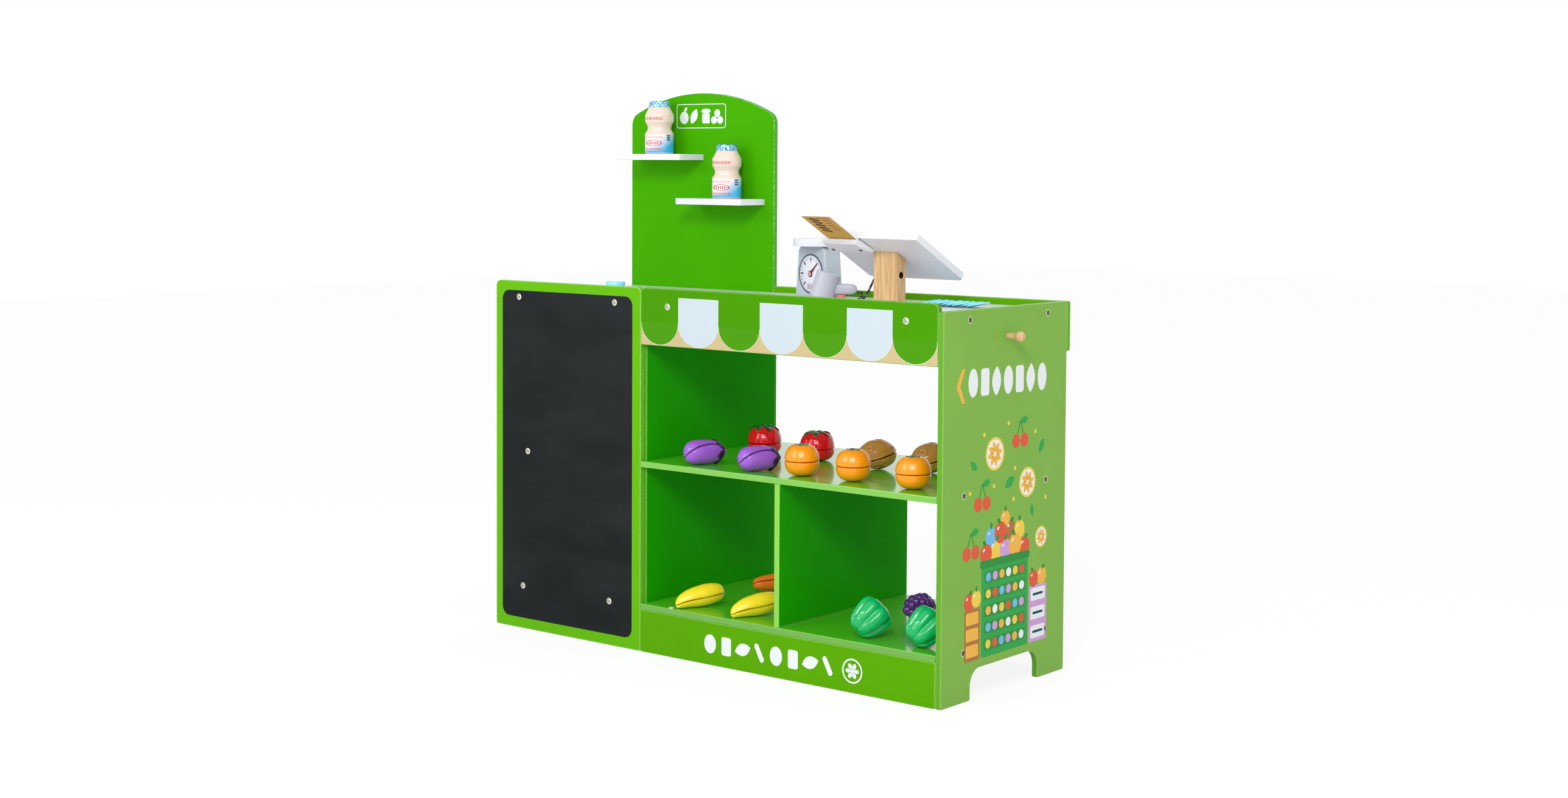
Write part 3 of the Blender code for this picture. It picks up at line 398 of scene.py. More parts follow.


# One green lacquer in copies whose colours paint light and shade: the frame lighter and the awning darker
# where light fell on the front, the inner walls and divider darker as painted shade, the shelf tops lighter
# as painted light, the side panel paler as a painted sheen; each rim colour paints light or shade on that
# board's edge faces.
lit_frame_green = lacquer("green_satin_lacquer", "60B004", "B8E28C", gloss=0.08)
front_green = lacquer("green_front_lacquer", "569F00", "A8D878", gloss=0.05)
shaded_awning_green = lacquer("green_awning_lacquer_painted_shade", "459000", "A0D470", gloss=0.05)
arch_green = lacquer("green_back_panel_lacquer", "43A600", "E4EFDC", gloss=0.03, wear=(0.5, 0.64))
shaded_inner_green = lacquer("green_inner_lacquer_painted_shade", "1C9C00", "8CD45A", "4CA010", roughness=0.35, gloss=0.02)
shaded_divider_green = lacquer("green_divider_lacquer_painted_shade", "1C9C00", "C0E890", "7CC83C", roughness=0.35, gloss=0.02)
glossy = {"roughness": 0.45, "dimples": 0.012, "gloss": 0.5, "coat": 1.0}
lit_shelf_green = lacquer("green_gloss_lacquer_painted_light", "54C604", "98D060", "64B41C", **glossy)
lit_low_shelf_green = lacquer("green_low_shelf_lacquer_painted_light", "50BE04", "88C850", "509C08", **glossy)
sheen_lit_side_green = lacquer("green_side_lacquer_painted_sheen", "7AAC43", "A4CC74", "4E9800", gloss=0.12)
white_lacquer = lacquer("white_satin_lacquer", "E3E3E8", "F0F0F4", roughness=0.25, gloss=0.4)

for node, place, material, *radii in (
    ("blackboard_board", FRONT, lit_frame_green, 4.0, 4.0, 10.0, 10.0),
    ("awning_board", FRONT, shaded_awning_green, 0.0, 0.0, 10.0, 10.0),
    ("kick_board", FRONT, front_green, 4.0, 4.0, 0.0, 0.0),
    ("back_rail", FRONT, front_green, 4.0, 4.0, 4.0, 4.0),
    ("countertop", LEVEL, white_lacquer, 0.0, 0.0, 0.0, 0.0),
    ("left_mid_shelf", LEVEL, lit_shelf_green, 0.0, 0.0, 0.0, 0.0),
    ("left_bottom_shelf", LEVEL, lit_low_shelf_green, 0.0, 0.0, 0.0, 0.0),
    ("shelf_divider", SIDE, shaded_divider_green, 0.0, 0.0, 0.0, 0.0),
    ("wall_shelf_upper", LEVEL, white_lacquer, 6.0, 6.0, 0.0, 0.0),
    ("wall_shelf_lower", LEVEL, white_lacquer, 6.0, 6.0, 0.0, 0.0),
):
    (u0, v0, low), (u1, v1, high) = span(node, place)
    corners = [(*p, r) for p, r in zip(((u0, v0), (u1, v0), (u1, v1), (u0, v1)), radii)]
    board("lacquered_" + node, rounded(corners), low, high, material, place, stands_for=node)

for node, material in (("mid_shelf", lit_shelf_green), ("bottom_shelf", lit_low_shelf_green)):
    (u0, v0, low), (u1, v1, high) = span(node, LEVEL)
    notch_u, notch_v = u0 + NOTCH[0], v0 + NOTCH[1]
    lip = [(u0, v0), (u1, v0), (u1, v1), (notch_u, v1), (notch_u, notch_v), (u0, notch_v)]
    outline = rounded([(*corner, 0) for corner in lip])
    board("lacquered_" + node, outline, low, high, material, stands_for=node)

for node, material, top_radius in (("inner_wall", shaded_inner_green, 0.0), ("side_panel", sheen_lit_side_green, 4.0)):
    (u0, v0, low), (depth, v1, high) = span(node, SIDE)
    legs = [(u0, 0, FOOT_R), (LEG_W, 0, FOOT_R), (LEG_W, LEG_CUT, LEG_CUT_R)]
    legs += [(depth - LEG_W, LEG_CUT, LEG_CUT_R), (depth - LEG_W, 0, FOOT_R), (depth, 0, FOOT_R)]
    legs += [(depth, v1, top_radius), (u0, v1, top_radius)]
    board("lacquered_" + node, rounded(legs, 12), low, high, material, SIDE, stands_for=node)

(u0, v0, low), (u1, v1, high) = span("arched_back_panel", FRONT)
half_width, middle = (u1 - u0) / 2, (u0 + u1) / 2
shoulder = v1 - ARCH_R + math.sqrt(ARCH_R**2 - half_width**2)
sweep = np.linspace(0.86, -0.86, 40) * math.asin(half_width / ARCH_R)
arch = [(u0, 0, FOOT_R), (u1, 0, FOOT_R), (u1, shoulder, SHOULDER_R)]
arch += [(middle + ARCH_R * math.sin(a), v1 - ARCH_R + ARCH_R * math.cos(a), 0) for a in sweep]
arch += [(u0, shoulder, SHOULDER_R)]
node = "arched_back_panel"
board("lacquered_" + node, rounded(arch), low, high, arch_green, FRONT, stands_for=node)

# Awning print: seven scallops, green and white in turn, screen-printed on the front board over a beige
# ground. White ink edges each scallop. Each ink is a film a tenth of a millimetre thick.
SCALLOP_EDGES = (1.6, 83.0, 169.5, 255.8, 343.2, 428.9, 515.9, 598.6)
SCALLOP_LOW, SCALLOP_ARC, SCALLOP_TOP = 516.3, 552.0, 596.0
GROUND_LOW = 515.9
OUTLINE_IN, COLOUR_IN = -0.2, -0.75
FRONT_FACE = 0.0
FILM_SUNK = 0.3


def ink(name, colour, roughness=0.45):
    """Screen-print ink: flat, with a fine mottle a few tenths of a millimetre wide."""
    mottle, grit = (900.0, 2.0, 0.05), (900.0, 2.0, 0.01)
    return finish(name, colour, mottle, grit, Roughness=roughness, Specular_IOR_Level=0.1)[0]


def film(outline, face, place, proud):
    """A thin closed film on a face: sunk a little in the board, and proud of it by part of a millimetre."""
    return plate(outline, [(0.0, face - FILM_SUNK), (0.0, face + proud)], place)


def scallop(left, right, top, grow):
    """Straight sides and a half ellipse below: x = m + a cos t, z = arc + b sin t, grown outwards."""
    a, m = (right - left) / 2 + grow, (left + right) / 2
    t = np.radians(np.linspace(180, 360, 49))
    low = np.column_stack([m + a * np.cos(t), SCALLOP_ARC + (SCALLOP_ARC - SCALLOP_LOW + grow) * np.sin(t)])
    return np.vstack([low, [(m + a, top), (m - a, top)]])


def scallops(pairs, top, grow, proud):
    """A film of each scallop between a pair of edges."""
    return [film(scallop(*pair, top, grow), FRONT_FACE, FRONT, proud) for pair in pairs]


pairs = list(zip(SCALLOP_EDGES[:-1], SCALLOP_EDGES[1:]))
green_pairs, white_pairs = pairs[0::2], pairs[1::2]
left, right = SCALLOP_EDGES[0], SCALLOP_EDGES[-1] - 0.2
ground = np.array([(left, GROUND_LOW), (right, GROUND_LOW), (right, SCALLOP_ARC), (left, SCALLOP_ARC)])
piece("awning_beige_print", film(ground, FRONT_FACE, FRONT, 0.04), ink("beige_print", "C2B083"))
outlines = scallops(green_pairs, SCALLOP_ARC + 1, OUTLINE_IN, 0.07)
outlines += scallops(white_pairs, SCALLOP_TOP, OUTLINE_IN, 0.10)
piece("awning_outline_print", joined(outlines), ink("pale_outline_print", "D3DACB"))
greens = scallops(green_pairs, SCALLOP_ARC + 1, COLOUR_IN, 0.10)
piece("awning_green_print", joined(greens), ink("green_print", "459000", 0.3))
whites = scallops(white_pairs, SCALLOP_TOP - 0.6, COLOUR_IN, 0.13)
piece("awning_white_print", joined(whites), ink("pale_blue_white_print", "BFCCD4"))

# Blackboard: a sheet of black chalkboard film on the front board, its corners rounded, matt and a little
# dusty where chalk has been wiped off.
BLACKBOARD = (-328.6, -18.8, 18.5, 593.5, 16.0)
FILM_T = 0.15


def chalkboard():
    """Chalkboard film: near-black and matt, with soft wiped streaks of chalk dust and a fine tooth."""
    material, tree, shader, where, black = finish(
        "chalkboard_film", "171B1D", None, (1500.0, 2.0, 0.03), Roughness=0.6, Specular_IOR_Level=0.08
    )
    stretched = add(tree, "Mapping", {0: where, 3: (6.0, 6.0, 14.0), 2: (0.0, 0.5, 0.0)})
    dust = add(tree, "TexNoise", {"Vector": stretched, "Scale": 1.0, "Detail": 6.0})
    share = add(tree, "MapRange", {0: dust, 1: 0.4, 2: 0.8, 3: 0.0, 4: 0.025})
    chalk = {0: share, 6: black, 7: srgb("A9ACAC")}
    add(tree, "Mix", chalk, 2, shader.inputs["Base Color"], data_type="RGBA")
    return material


def rectangle(u0, u1, v0, v1, radius):
    """A rectangle's outline with round corners."""
    return rounded([(u0, v0, radius), (u1, v0, radius), (u1, v1, radius), (u0, v1, radius)])


sheet_rows = [(0.0, -1.6), (0.0, 0.10), (0.12, FILM_T)]
sheet = plate(rectangle(*BLACKBOARD), sheet_rows, FRONT)
piece("chalkboard_sheet", sheet, chalkboard(), "blackboard_sheet")

# Screws: cross-head furniture screws, 7.4 mm across, of bright nickel-plated steel in the front boards and
# of blackened steel in the side panel. Each has a pale ring where the countersink broke the lacquer. One
# screw in the bottom shelf, by its front left corner, is covered by a small pale plastic cap.
FRONT_SCREWS = ((-287, 582), (-59, 582), (-265, 313), (-277, 75), (-70, 75), (60, 580), (541, 581))
SIDE_SCREWS = ((70.6, 582), (293, 582), (59, 316), (291, 316), (60, 76), (293, 76))
SIDE_FACE = 609.5
SCREW_GAP = ((1.24, -0.6), (1.24, 0.06), (1.02, 0.06))
BAR_W, CROSS_R = 0.5, 2.3
RING_SHIFT = (-0.7, 0.3)
CAP_SPOT, CAP_R = (66.0, 5.0, 81.0), 4.4


def bell(x, width, power=2):
    """1 at nought, falling on both sides as exp(-(x/width)^power)."""
    return np.exp(-((x / width) ** power))


def screw_head(radius=3.7):
    """A shallow dome 0.6(1 - (r/R)^2) with a cross sunk in it: two bars, each a bell of power 4. Also
    the mark of each point for painted shade, 1 in the cross and in the narrow gap round the head."""
    rim = np.linspace(1.0, 0.0, 14, endpoint=False) * radius
    x, y = rim[:, None] * np.cos(circle(48) + 0.5), rim[:, None] * np.sin(circle(48) + 0.5)
    bars = np.maximum(bell(x, BAR_W, 4), bell(y, BAR_W, 4))
    deep = bars / (1 + np.exp((np.hypot(x, y) - CROSS_R) / 0.12))
    rings = np.stack([x, y, 0.15 + 0.6 * (1 - (np.hypot(x, y) / radius) ** 2) - 1.3 * deep], axis=-1)
    gap = np.stack([np.stack([r * x[0], r * y[0], 0 * x[0] + h], axis=-1) for r, h in SCREW_GAP])
    mark = np.concatenate([np.ones(gap.shape[:2]), deep]).reshape(-1)
    return skin(np.concatenate([gap, rings]), high_tip=(0.0, 0.0, -0.5)), np.append(mark, 1.0)


def bare_ring(outer=5.4, inner=4.3):
    """A low ring: its section rises from the board to 0.15 mm and falls into the countersink."""
    a = circle(36)
    rows = [(outer, -0.3), (outer, 0.08), (outer - 0.2, 0.15)]
    rows += [(inner + 0.2, 0.15), (inner, 0.05), (inner, -0.3)]
    rings = [np.column_stack([r * np.cos(a), r * np.sin(a), h + 0 * a]) for r, h in rows]
    return skin(np.array(rings) + (*RING_SHIFT, 0.0))


def moved(solid, place, at):
    """A solid turned and carried to its place."""
    return solid[0] @ np.asarray(place).T + at, solid[1]


def plated_steel(name, colour):
    """Plated steel: metal, slightly rough from tumbling, with painted shade, black and not metal, in its
    cross and in the gap round it.
    """
    material, tree, shader, _, bright = finish(name, colour, grain=(3000.0, 2.0, 0.02), Roughness=0.3)
    deep = add(tree, "Attribute", out="Fac", attribute_name="deep")
    # Painted shade: black where the mark is 1, in the sunk cross and in the gap round the head.
    shades = {0: deep, 6: bright, 7: srgb("141414")}
    add(tree, "Mix", shades, 2, shader.inputs["Base Color"], data_type="RGBA")
    add(tree, "Math", {0: 1.0, 1: deep}, to=shader.inputs["Metallic"], operation="SUBTRACT")
    return material


steel = plated_steel("nickel_plated_steel", "D4D5D8")
dark_steel = plated_steel("blackened_steel", "4A5056")
bare_wood = ink("bare_wood_ring", "E4DFC2", 0.6)
front_spots = [(FRONT, (x, FRONT_FACE - (FILM_T if x < 0 else 0.0), z)) for x, z in FRONT_SCREWS]
side_spots = [(SIDE, (SIDE_FACE, y, z)) for y, z in SIDE_SCREWS]
head, head_shade_mark = screw_head()
for name, spots, metal in (("front_screws", front_spots, steel), ("side_screws", side_spots, dark_steel)):
    heads = joined([moved(head, *spot) for spot in spots])
    piece(name, heads, metal, deep=np.tile(head_shade_mark, len(spots)))
cap_line = CAP_R * np.column_stack([np.cos(circle(32)), np.sin(circle(32))])
cap = plate(cap_line, [(0.0, -0.5), (0.0, 0.5), (0.5, 1.0), (1.6, 1.2)])
piece("shelf_screw_cap", moved(cap, LEVEL, CAP_SPOT), bare_wood)
piece("screw_rings", joined([moved(bare_ring(), *spot) for spot in front_spots + side_spots]), bare_wood)

# Sign on the arched panel: a white printed frame with four plain white shapes in it, in the place where
# such a shop has its sign. Screen print on the lacquer.
SIGN = (-232.4, -113.4, 881.0, 925.8, 6.0)
BACK_FACE = -350.3


def ellipse(u, v, a, b=None, tilt=0.0, count=32):
    """u + a cos t and v + b sin t, turned by a tilt."""
    line = np.column_stack([a * np.cos(circle(count)), (b or a) * np.sin(circle(count))])
    return line @ turn("z", tilt)[:2, :2].T + (u, v)


def leaf(u, v, length, width, tilt=0.0):
    """A pointed oval: half its width is w sin(pi s)^0.8 along its length s, turned by a tilt."""
    s = np.linspace(0, 1, 13)
    half = width / 2 * np.sin(np.pi * s) ** 0.8
    low, high = np.column_stack([s * length, -half]), np.column_stack([s * length, half])
    return np.vstack([low, high[-2:0:-1]]) @ turn("z", tilt)[:2, :2].T + (u, v)


def bar(u, v, length, width, tilt=0.0, radius=None):
    """A rounded bar centred on (u, v)."""
    r = min(length, width) / 2 - 0.02 if radius is None else radius
    line = rectangle(-length / 2, length / 2, -width / 2, width / 2, r)
    return line @ turn("z", tilt)[:2, :2].T + (u, v)


def looped(rings):
    """Points and faces of a skin over rings that closes on itself: the last ring joins the first."""
    points, faces = skin(np.concatenate([rings, rings[:1]]))
    count = rings.shape[0] * rings.shape[1]
    return points[:count], [[k % count for k in face] for face in faces if len(face) == 4]


def hoop(outer, inner, face, place, proud):
    """A closed flat ring between an outer and an inner outline with as many points."""
    low, high = face - FILM_SUNK, face + proud
    ends = ((outer, low), (outer, high), (inner, high), (inner, low))
    rings = np.stack([np.column_stack([line, np.full(len(line), h)]) for line, h in ends])
    return moved(looped(rings), place, 0)


def drawn(outlines, face, place, proud=0.10):
    """Several films of one ink."""
    return joined([film(line, face, place, proud) for line in outlines])


frame_line = rectangle(*SIGN)
sign_mid = (SIGN[2] + SIGN[3]) / 2
sign_shapes = [
    ellipse(-214.0, sign_mid - 3, 10.5, 11.5),
    leaf(-214.0, sign_mid + 8, 11.0, 6.0, 50),
    leaf(-196.5, sign_mid - 14, 30.0, 16.0, 64),
    ellipse(-161.0, sign_mid + 9, 11.0, 4.5),
    bar(-161.0, sign_mid - 4.5, 18.0, 18.0, 0, 2.0),
]
sign_shapes += [ellipse(u, sign_mid + v, 7.0) for u, v in ((-134.0, 5), (-127.0, -7.5), (-141.5, -7.5))]
white_ink = ink("white_print", "E2E6E8")
sign_frame = hoop(frame_line, inset(frame_line, 1.5), BACK_FACE, FRONT, 0.1)
piece("arch_sign_print", joined([sign_frame, drawn(sign_shapes, BACK_FACE, FRONT)]), white_ink)

# Side panel print: above, a row of plain white shapes with an orange arrowhead; below, crates of round
# fruit with lemon slices, cherries and leaves falling into them. Flat screen-printed inks.
PRINT_COLOURS = {
    "orange": "E9B04A",
    "red": "D9583C",
    "yellow": "E8C94C",
    "dark_green": "2E8B3A",
    "leaf_green": "2FA04B",
    "lilac": "C79AD0",
    "light_blue": "6FB6E0",
    "brown": "A8733B",
    "navy": "16435E",
}
inks = {"white": white_ink}
inks.update({colour: ink(colour + "_print", code) for colour, code in PRINT_COLOURS.items()})
side_layers = {colour: [] for colour in inks}


def side(colour, outline, layer=1):
    """Adds one shape of one ink to the side panel; a higher layer lies a little prouder."""
    side_layers[colour].append(film(outline, SIDE_FACE, SIDE, 0.05 + 0.035 * layer))


side("orange", np.array([(50, 457), (58, 457), (45, 483), (58, 509), (50, 509), (35.0, 483)]))
for k, y in enumerate(np.linspace(80, 276, 7)):
    z = 486.0 - 4.0 * k / 6
    kinds = (ellipse(y, z, 13.0, 22.0), bar(y, z, 23.0, 42.0, 0, 5.0), leaf(y - 2, z - 23, 46.0, 25.0, 87))
    side("white", kinds[k % 3])

CRATE_FRONT, CRATE_BACK, CRATE_LOW, CRATE_TOP = 108.0, 240.0, 60.0, 205.0
side("leaf_green", rectangle(CRATE_FRONT, CRATE_BACK, CRATE_LOW, CRATE_TOP, 5.0), 4)
for k, z in enumerate(np.linspace(70.0, 174.0, 5)):
    side("dark_green", rectangle(CRATE_FRONT + 8, CRATE_BACK - 8, z, z + 18.0, 3.0), 5)
    for n in range(6):
        colour = ("yellow", "red", "light_blue", "lilac", "orange", "white")[(n + 2 * k) % 6]
        side(colour, ellipse(CRATE_FRONT + 19.0 + 19.0 * n, z + 9.0, 7.0), 6)
side("dark_green", rectangle(CRATE_FRONT - 4, CRATE_BACK + 4, CRATE_TOP - 7, CRATE_TOP + 5, 4.0), 6)
side("brown", rectangle(62.0, 104.0, 60.0, 140.0, 4.0), 3)
for z in (66.0, 91.0, 116.0):
    side("orange", rectangle(66.0, 100.0, z, z + 19.0, 3.0), 4)
side("lilac", rectangle(244.0, 296.0, 60.0, 150.0, 4.0), 3)
for z in (66.0, 96.0, 126.0):
    side("white", rectangle(249.0, 291.0, z, z + 20.0, 3.0), 4)
    side("navy", bar(270.0, z + 10.0, 30.0, 4.0), 5)
heap = (
    (74, 151, 14, "red"), (94, 154, 13, "yellow"), (120, 219, 16, "red"), (146, 223, 18, "yellow"),
    (174, 220, 16, "lilac"), (202, 224, 18, "orange"), (229, 218, 15, "red"), (133, 244, 15, "light_blue"),
    (160, 248, 17, "red"), (188, 249, 15, "brown"), (214, 246, 15, "yellow"), (257, 162, 13, "red"),
    (281, 163, 14, "orange"), (173, 268, 13, "orange"),
)
for k, (y, z, r, colour) in enumerate(heap):
    side(colour, ellipse(y, z, r), 1 + k % 3)
    side("white", ellipse(y - 0.4 * r, z + 0.42 * r, 0.2 * r, 0.12 * r, 40), 4 + k % 3)
    side("dark_green", leaf(y, z + 0.8 * r, 0.75 * r, 0.42 * r, 35 + 50 * (k % 3)), 4 + k % 3)
for y, z, r in ((142, 372, 26), (236, 318, 24), (278, 226, 17)):
    side("yellow", ellipse(y, z, r), 1)
    side("white", ellipse(y, z, 0.86 * r), 2)
    for tilt in range(12, 372, 45):
        start = np.array([math.cos(math.radians(tilt)), math.sin(math.radians(tilt))]) * 0.1 * r + (y, z)
        side("orange", leaf(*start, 0.68 * r, 0.34 * r, tilt), 3)
for y, z in ((214, 386), (108, 298), (78, 226)):
    side("leaf_green", leaf(y, z + 29, 22, 11, 12), 2)
    for way in (-1, 1):
        side("dark_green", bar(y + 6 * way, z + 16, 32, 2.2, 90 + 22 * way), 1)
        side("red", ellipse(y + 12 * way, z, 11.0), 3)
for y, z, size, tilt in ((172, 316, 30, 30), (92, 352, 22, 140), (270, 360, 26, 60), (252, 262, 20, 100)):
    side("leaf_green", leaf(y, z, size, size / 2, tilt), 2)
for y, z in ((180, 416), (112, 404), (258, 396), (74, 318), (200, 344), (290, 288), (140, 322), (196, 296)):
    side("yellow", ellipse(y, z, 3.4), 2)
for colour, films in side_layers.items():
    piece("side_print_" + colour, joined(films), inks[colour])

# Kick board print: a row of plain white shapes and a ring with a flower in it, screen-printed in white.
KICK_ROW, KICK_Z = (155.0, 396.0), 35.0
FLOWER, FLOWER_R, RING_R, RING_W = (444.2, 34.5), 8.2, 19.4, 2.6
kick_shapes = []
for k, x in enumerate(np.linspace(*KICK_ROW, 8)):
    kinds = (
        ellipse(x, KICK_Z, 12.5, 15.5),
        bar(x, KICK_Z, 20.0, 30.0, 0, 4.0),
        leaf(x - 16, KICK_Z - 5, 34.0, 20.0, 18),
        bar(x, KICK_Z, 9.0, 32.0, 28),
    )
    kick_shapes.append(kinds[k % 4])
for tilt in range(0, 360, 60):
    petal = np.array([math.cos(math.radians(tilt)), math.sin(math.radians(tilt))]) * FLOWER_R + FLOWER
    kick_shapes.append(ellipse(*petal, 4.6, 3.4, tilt))
kick_shapes.append(ellipse(*FLOWER, 3.4))
ring_line = ellipse(*FLOWER, RING_R, count=64)
ring = hoop(ring_line, inset(ring_line, RING_W), FRONT_FACE, FRONT, 0.1)
piece("kick_board_print", joined([drawn(kick_shapes, FRONT_FACE, FRONT), ring]), white_ink)

# Peg: turned beech with a clear finish, a ball on a thinner neck, glued in a hole in the side panel.
PEG_SPOT = (SIDE_FACE, 175.0, 552.5)
PEG_PROFILE = ((4.5, 0.0), (4.5, 6.0), (4.6, 13.0), (5.2, 15.5), (7.2, 18.2), (8.2, 21.8), (7.6, 25.4),
               (5.2, 28.6), (2.4, 29.8))


def lathe(profile, around=48, gap=0.6, eased=True):
    """Rings of a turned shape: its (radius, height) knots, low end first and joined by a smooth line if
    eased, carried round the axis as (r cos a, r sin a, height)."""
    line, a = flow(profile, gap) if eased else np.asarray(profile, float), circle(around)
    return np.stack([line[:, :1] * np.cos(a), line[:, :1] * np.sin(a), line[:, 1:] + 0 * a], axis=-1)


def wood(name, light, dark, grain=(60.0, 60.0, 4.0), waviness=0.5):
    """Clear-coated wood: growth rings cut lengthwise, as bands in coordinates drawn out along the grain
    and pushed aside by a slow noise, with a faint bump along the bands."""
    material, tree, shader, where, _ = finish(name, light, Roughness=0.42, Specular_IOR_Level=0.25)
    drawn_out = add(tree, "Mapping", {0: where, 3: grain})
    push = add(tree, "TexNoise", {"Vector": drawn_out, "Scale": 0.9, "Detail": 2.0})
    bands = add(tree, "TexNoise", {"Vector": drawn_out, "Scale": 1.4, "Detail": 3.0, "Distortion": waviness})
    value = push
    for operation, other in (("ADD", bands), ("MULTIPLY", 26.0), ("SINE", 0.0)):
        value = add(tree, "Math", {0: value, 1: other}, operation=operation)
    share = add(tree, "MapRange", {0: value, 1: -0.6, 2: 1.8})
    shades = {0: share, 6: srgb(light), 7: srgb(dark)}
    add(tree, "Mix", shades, 2, shader.inputs["Base Color"], data_type="RGBA")
    add(tree, "Bump", {"Height": bands, "Distance": 0.00005}, to=shader.inputs["Normal"])
    return material


beech = wood("turned_beech", "DDB78A", "C99A68")
peg_rings = lathe(PEG_PROFILE)
piece("turned_peg", moved(skin(peg_rings, high_tip=(0, 0, 30.0)), SIDE, PEG_SPOT), beech, "hanging_peg")

# Till: a pine block screwed under a sloping white board. Under the board's near edge sits a bevelled
# white holder with a slot, and the play card stands in the slot.
SCREEN_TILT = 27.3
SCREEN = turn("x", -SCREEN_TILT)
SCREEN_AT = (259.0, 156.0, COUNTER + 86.8 + 44.0 * math.tan(math.radians(SCREEN_TILT)) + 0.34)
SCREEN_SIZE = (188.5, 153.0, 12.0)
ON_SCREEN = (SCREEN, SCREEN_AT)
HOLDER = ((0.0, 0.0), (74.0, 0.0), (80.0, 41.0), (-6.0, 41.0))
HOLDER_T, HOLDER_REAR = 9.5, 41.0
SLOT = (12.7, 73.9, 16.6)
SLOT_DEEP = 2.9
CARD = (13.3, 73.3, -84.0, 16.0, 3.0)
CARD_T, CARD_DEEP = 2.0, 0.6

pine = wood("clear_coated_pine", "DCB886", "BA8C58", grain=(110.0, 110.0, 5.0), waviness=0.9)
frame["nodes"]["register_post"].material_slots[0].material = pine
# A dark brown cup in the cord's hole by the post's right-hand face: painted shade, so that the hole reads
# dark inside.
hole_rings = lathe([(5.25, 0.0), (5.3, 14.0), (5.1, 14.0), (5.0, 1.0)], 40, eased=False)
hole_shade_cup = skin(hole_rings, low_tip=(0, 0, 0.0), high_tip=(0, 0, 1.0))
hole_at = POST_HOLE + (47.0 - 14.3, 0.0, 0.0)
piece("post_hole_painted_shade", moved(hole_shade_cup, SIDE, hole_at), ink("hole_painted_shade", "2A1C10", 0.8))
wide, deep, thick = SCREEN_SIZE
outline = rounded([(0, 0, 3), (wide, 0, 3), (wide, deep, 9), (0, deep, 9)])
board("till_board", outline, 0.0, thick, white_lacquer, *ON_SCREEN, stands_for="register_screen")
corners = [(60 + 24 * column, 38 + 24 * row) for row in range(4) for column in range(3)]
keys = drawn([rectangle(u, u + 18, v, v + 18, 4.0) for u, v in corners], thick, LEVEL, 0.12)
piece("till_keys_print", moved(keys, *ON_SCREEN), inks["light_blue"])

holder_outline = rounded([(*corner, 0.0) for corner in HOLDER])
holder_rows = [(5.0, -HOLDER_T - 0.3), (4.8, -HOLDER_T - 0.3), (4.2, -HOLDER_T), (0.3, -SLOT_DEEP - 0.8)]
holder_rows += [(0.0, -SLOT_DEEP - 0.3), (0.0, -SLOT_DEEP)]
cheek_rows = [(0.0, -SLOT_DEEP), (0.0, -0.5), (0.2, -0.3)]
left, right, stop = SLOT
rear = HOLDER_REAR
cheeks = (
    [(0.0, 0.0, 0.8), (left, 0.0, 0.4), (left, rear, 0), (-6.0, rear, 0.8)],
    [(right, 0.0, 0.4), (74.0, 0.0, 0.8), (80.0, rear, 0.8), (right, rear, 0)],
    [(left, stop, 0), (right, stop, 0), (right, rear, 0), (left, rear, 0)],
)
solids = [plate(holder_outline, holder_rows, *ON_SCREEN)]
solids += [plate(rounded(cheek, 3), cheek_rows, *ON_SCREEN) for cheek in cheeks]
piece("bevelled_card_holder", joined(solids), white_lacquer, "card_holder")
small_head, small_head_shade_mark = screw_head(3.0)
spots = [(SCREEN @ turn("x", 180), SCREEN @ (u, 27.0, -HOLDER_T - 0.3) + SCREEN_AT) for u in (9.0, 65.0)]
solid = joined([moved(small_head, *spot) for spot in spots])
piece("holder_screws", solid, dark_steel, deep=np.tile(small_head_shade_mark, len(spots)))

card_high, card_low = -CARD_DEEP, -CARD_DEEP - CARD_T
card_line = rectangle(*CARD)
card_body = lacquer("white_card_stock", "F1F0F2", "FFFFFF", dimples=0.01)
card = ("play_card_stock", card_line, card_low, card_high, card_body)
board(*card, *ON_SCREEN, ease=0.4, stands_for="play_card")
gold = plate(inset(card_line, 2.0), [(0.0, card_low - 0.06), (0.0, card_high + 0.06)], *ON_SCREEN)
piece("card_gold_print", gold, ink("gold_print", "CF9F3C", 0.35), rides="play_card")
marks = []
for k in range(5):
    marks += [bar(56.0, -34.0 - 8.5 * k, 12.0, 1.6), bar(33.0, -30.0 - 10.0 * k, 18.0, 6.0, 20, 2.0)]
marks += [bar(43.0, -76.0, 44.0, 1.2), bar(43.0, -4.0, 44.0, 1.2)]
mark_rows = [(0.0, card_low - 0.12), (0.0, card_high + 0.12)]
card_marks = joined([plate(line, mark_rows, *ON_SCREEN) for line in marks])
piece("card_brown_print", card_marks, ink("dark_brown_print", "5A2A12", 0.4), rides="play_card")

# Kitchen scale: a grey lacquered wooden block with a printed dial under a thin ring, a red hand that
# turns on a hub, and a round white weighing plate on top.
SCALE_YAW = -15.5
SCALE_PLACE = turn("z", SCALE_YAW) @ FRONT
SCALE_AT = (88.5, 302.0, COUNTER)
SCALE_MID = 46.0
DIAL_R, DIAL_H, DIAL_T = 34.5, 40.0, 1.8
PLATE_R, PLATE_LOW, PLATE_T = 45.0, 87.8, 12.5
HAND_TILT = 47.0

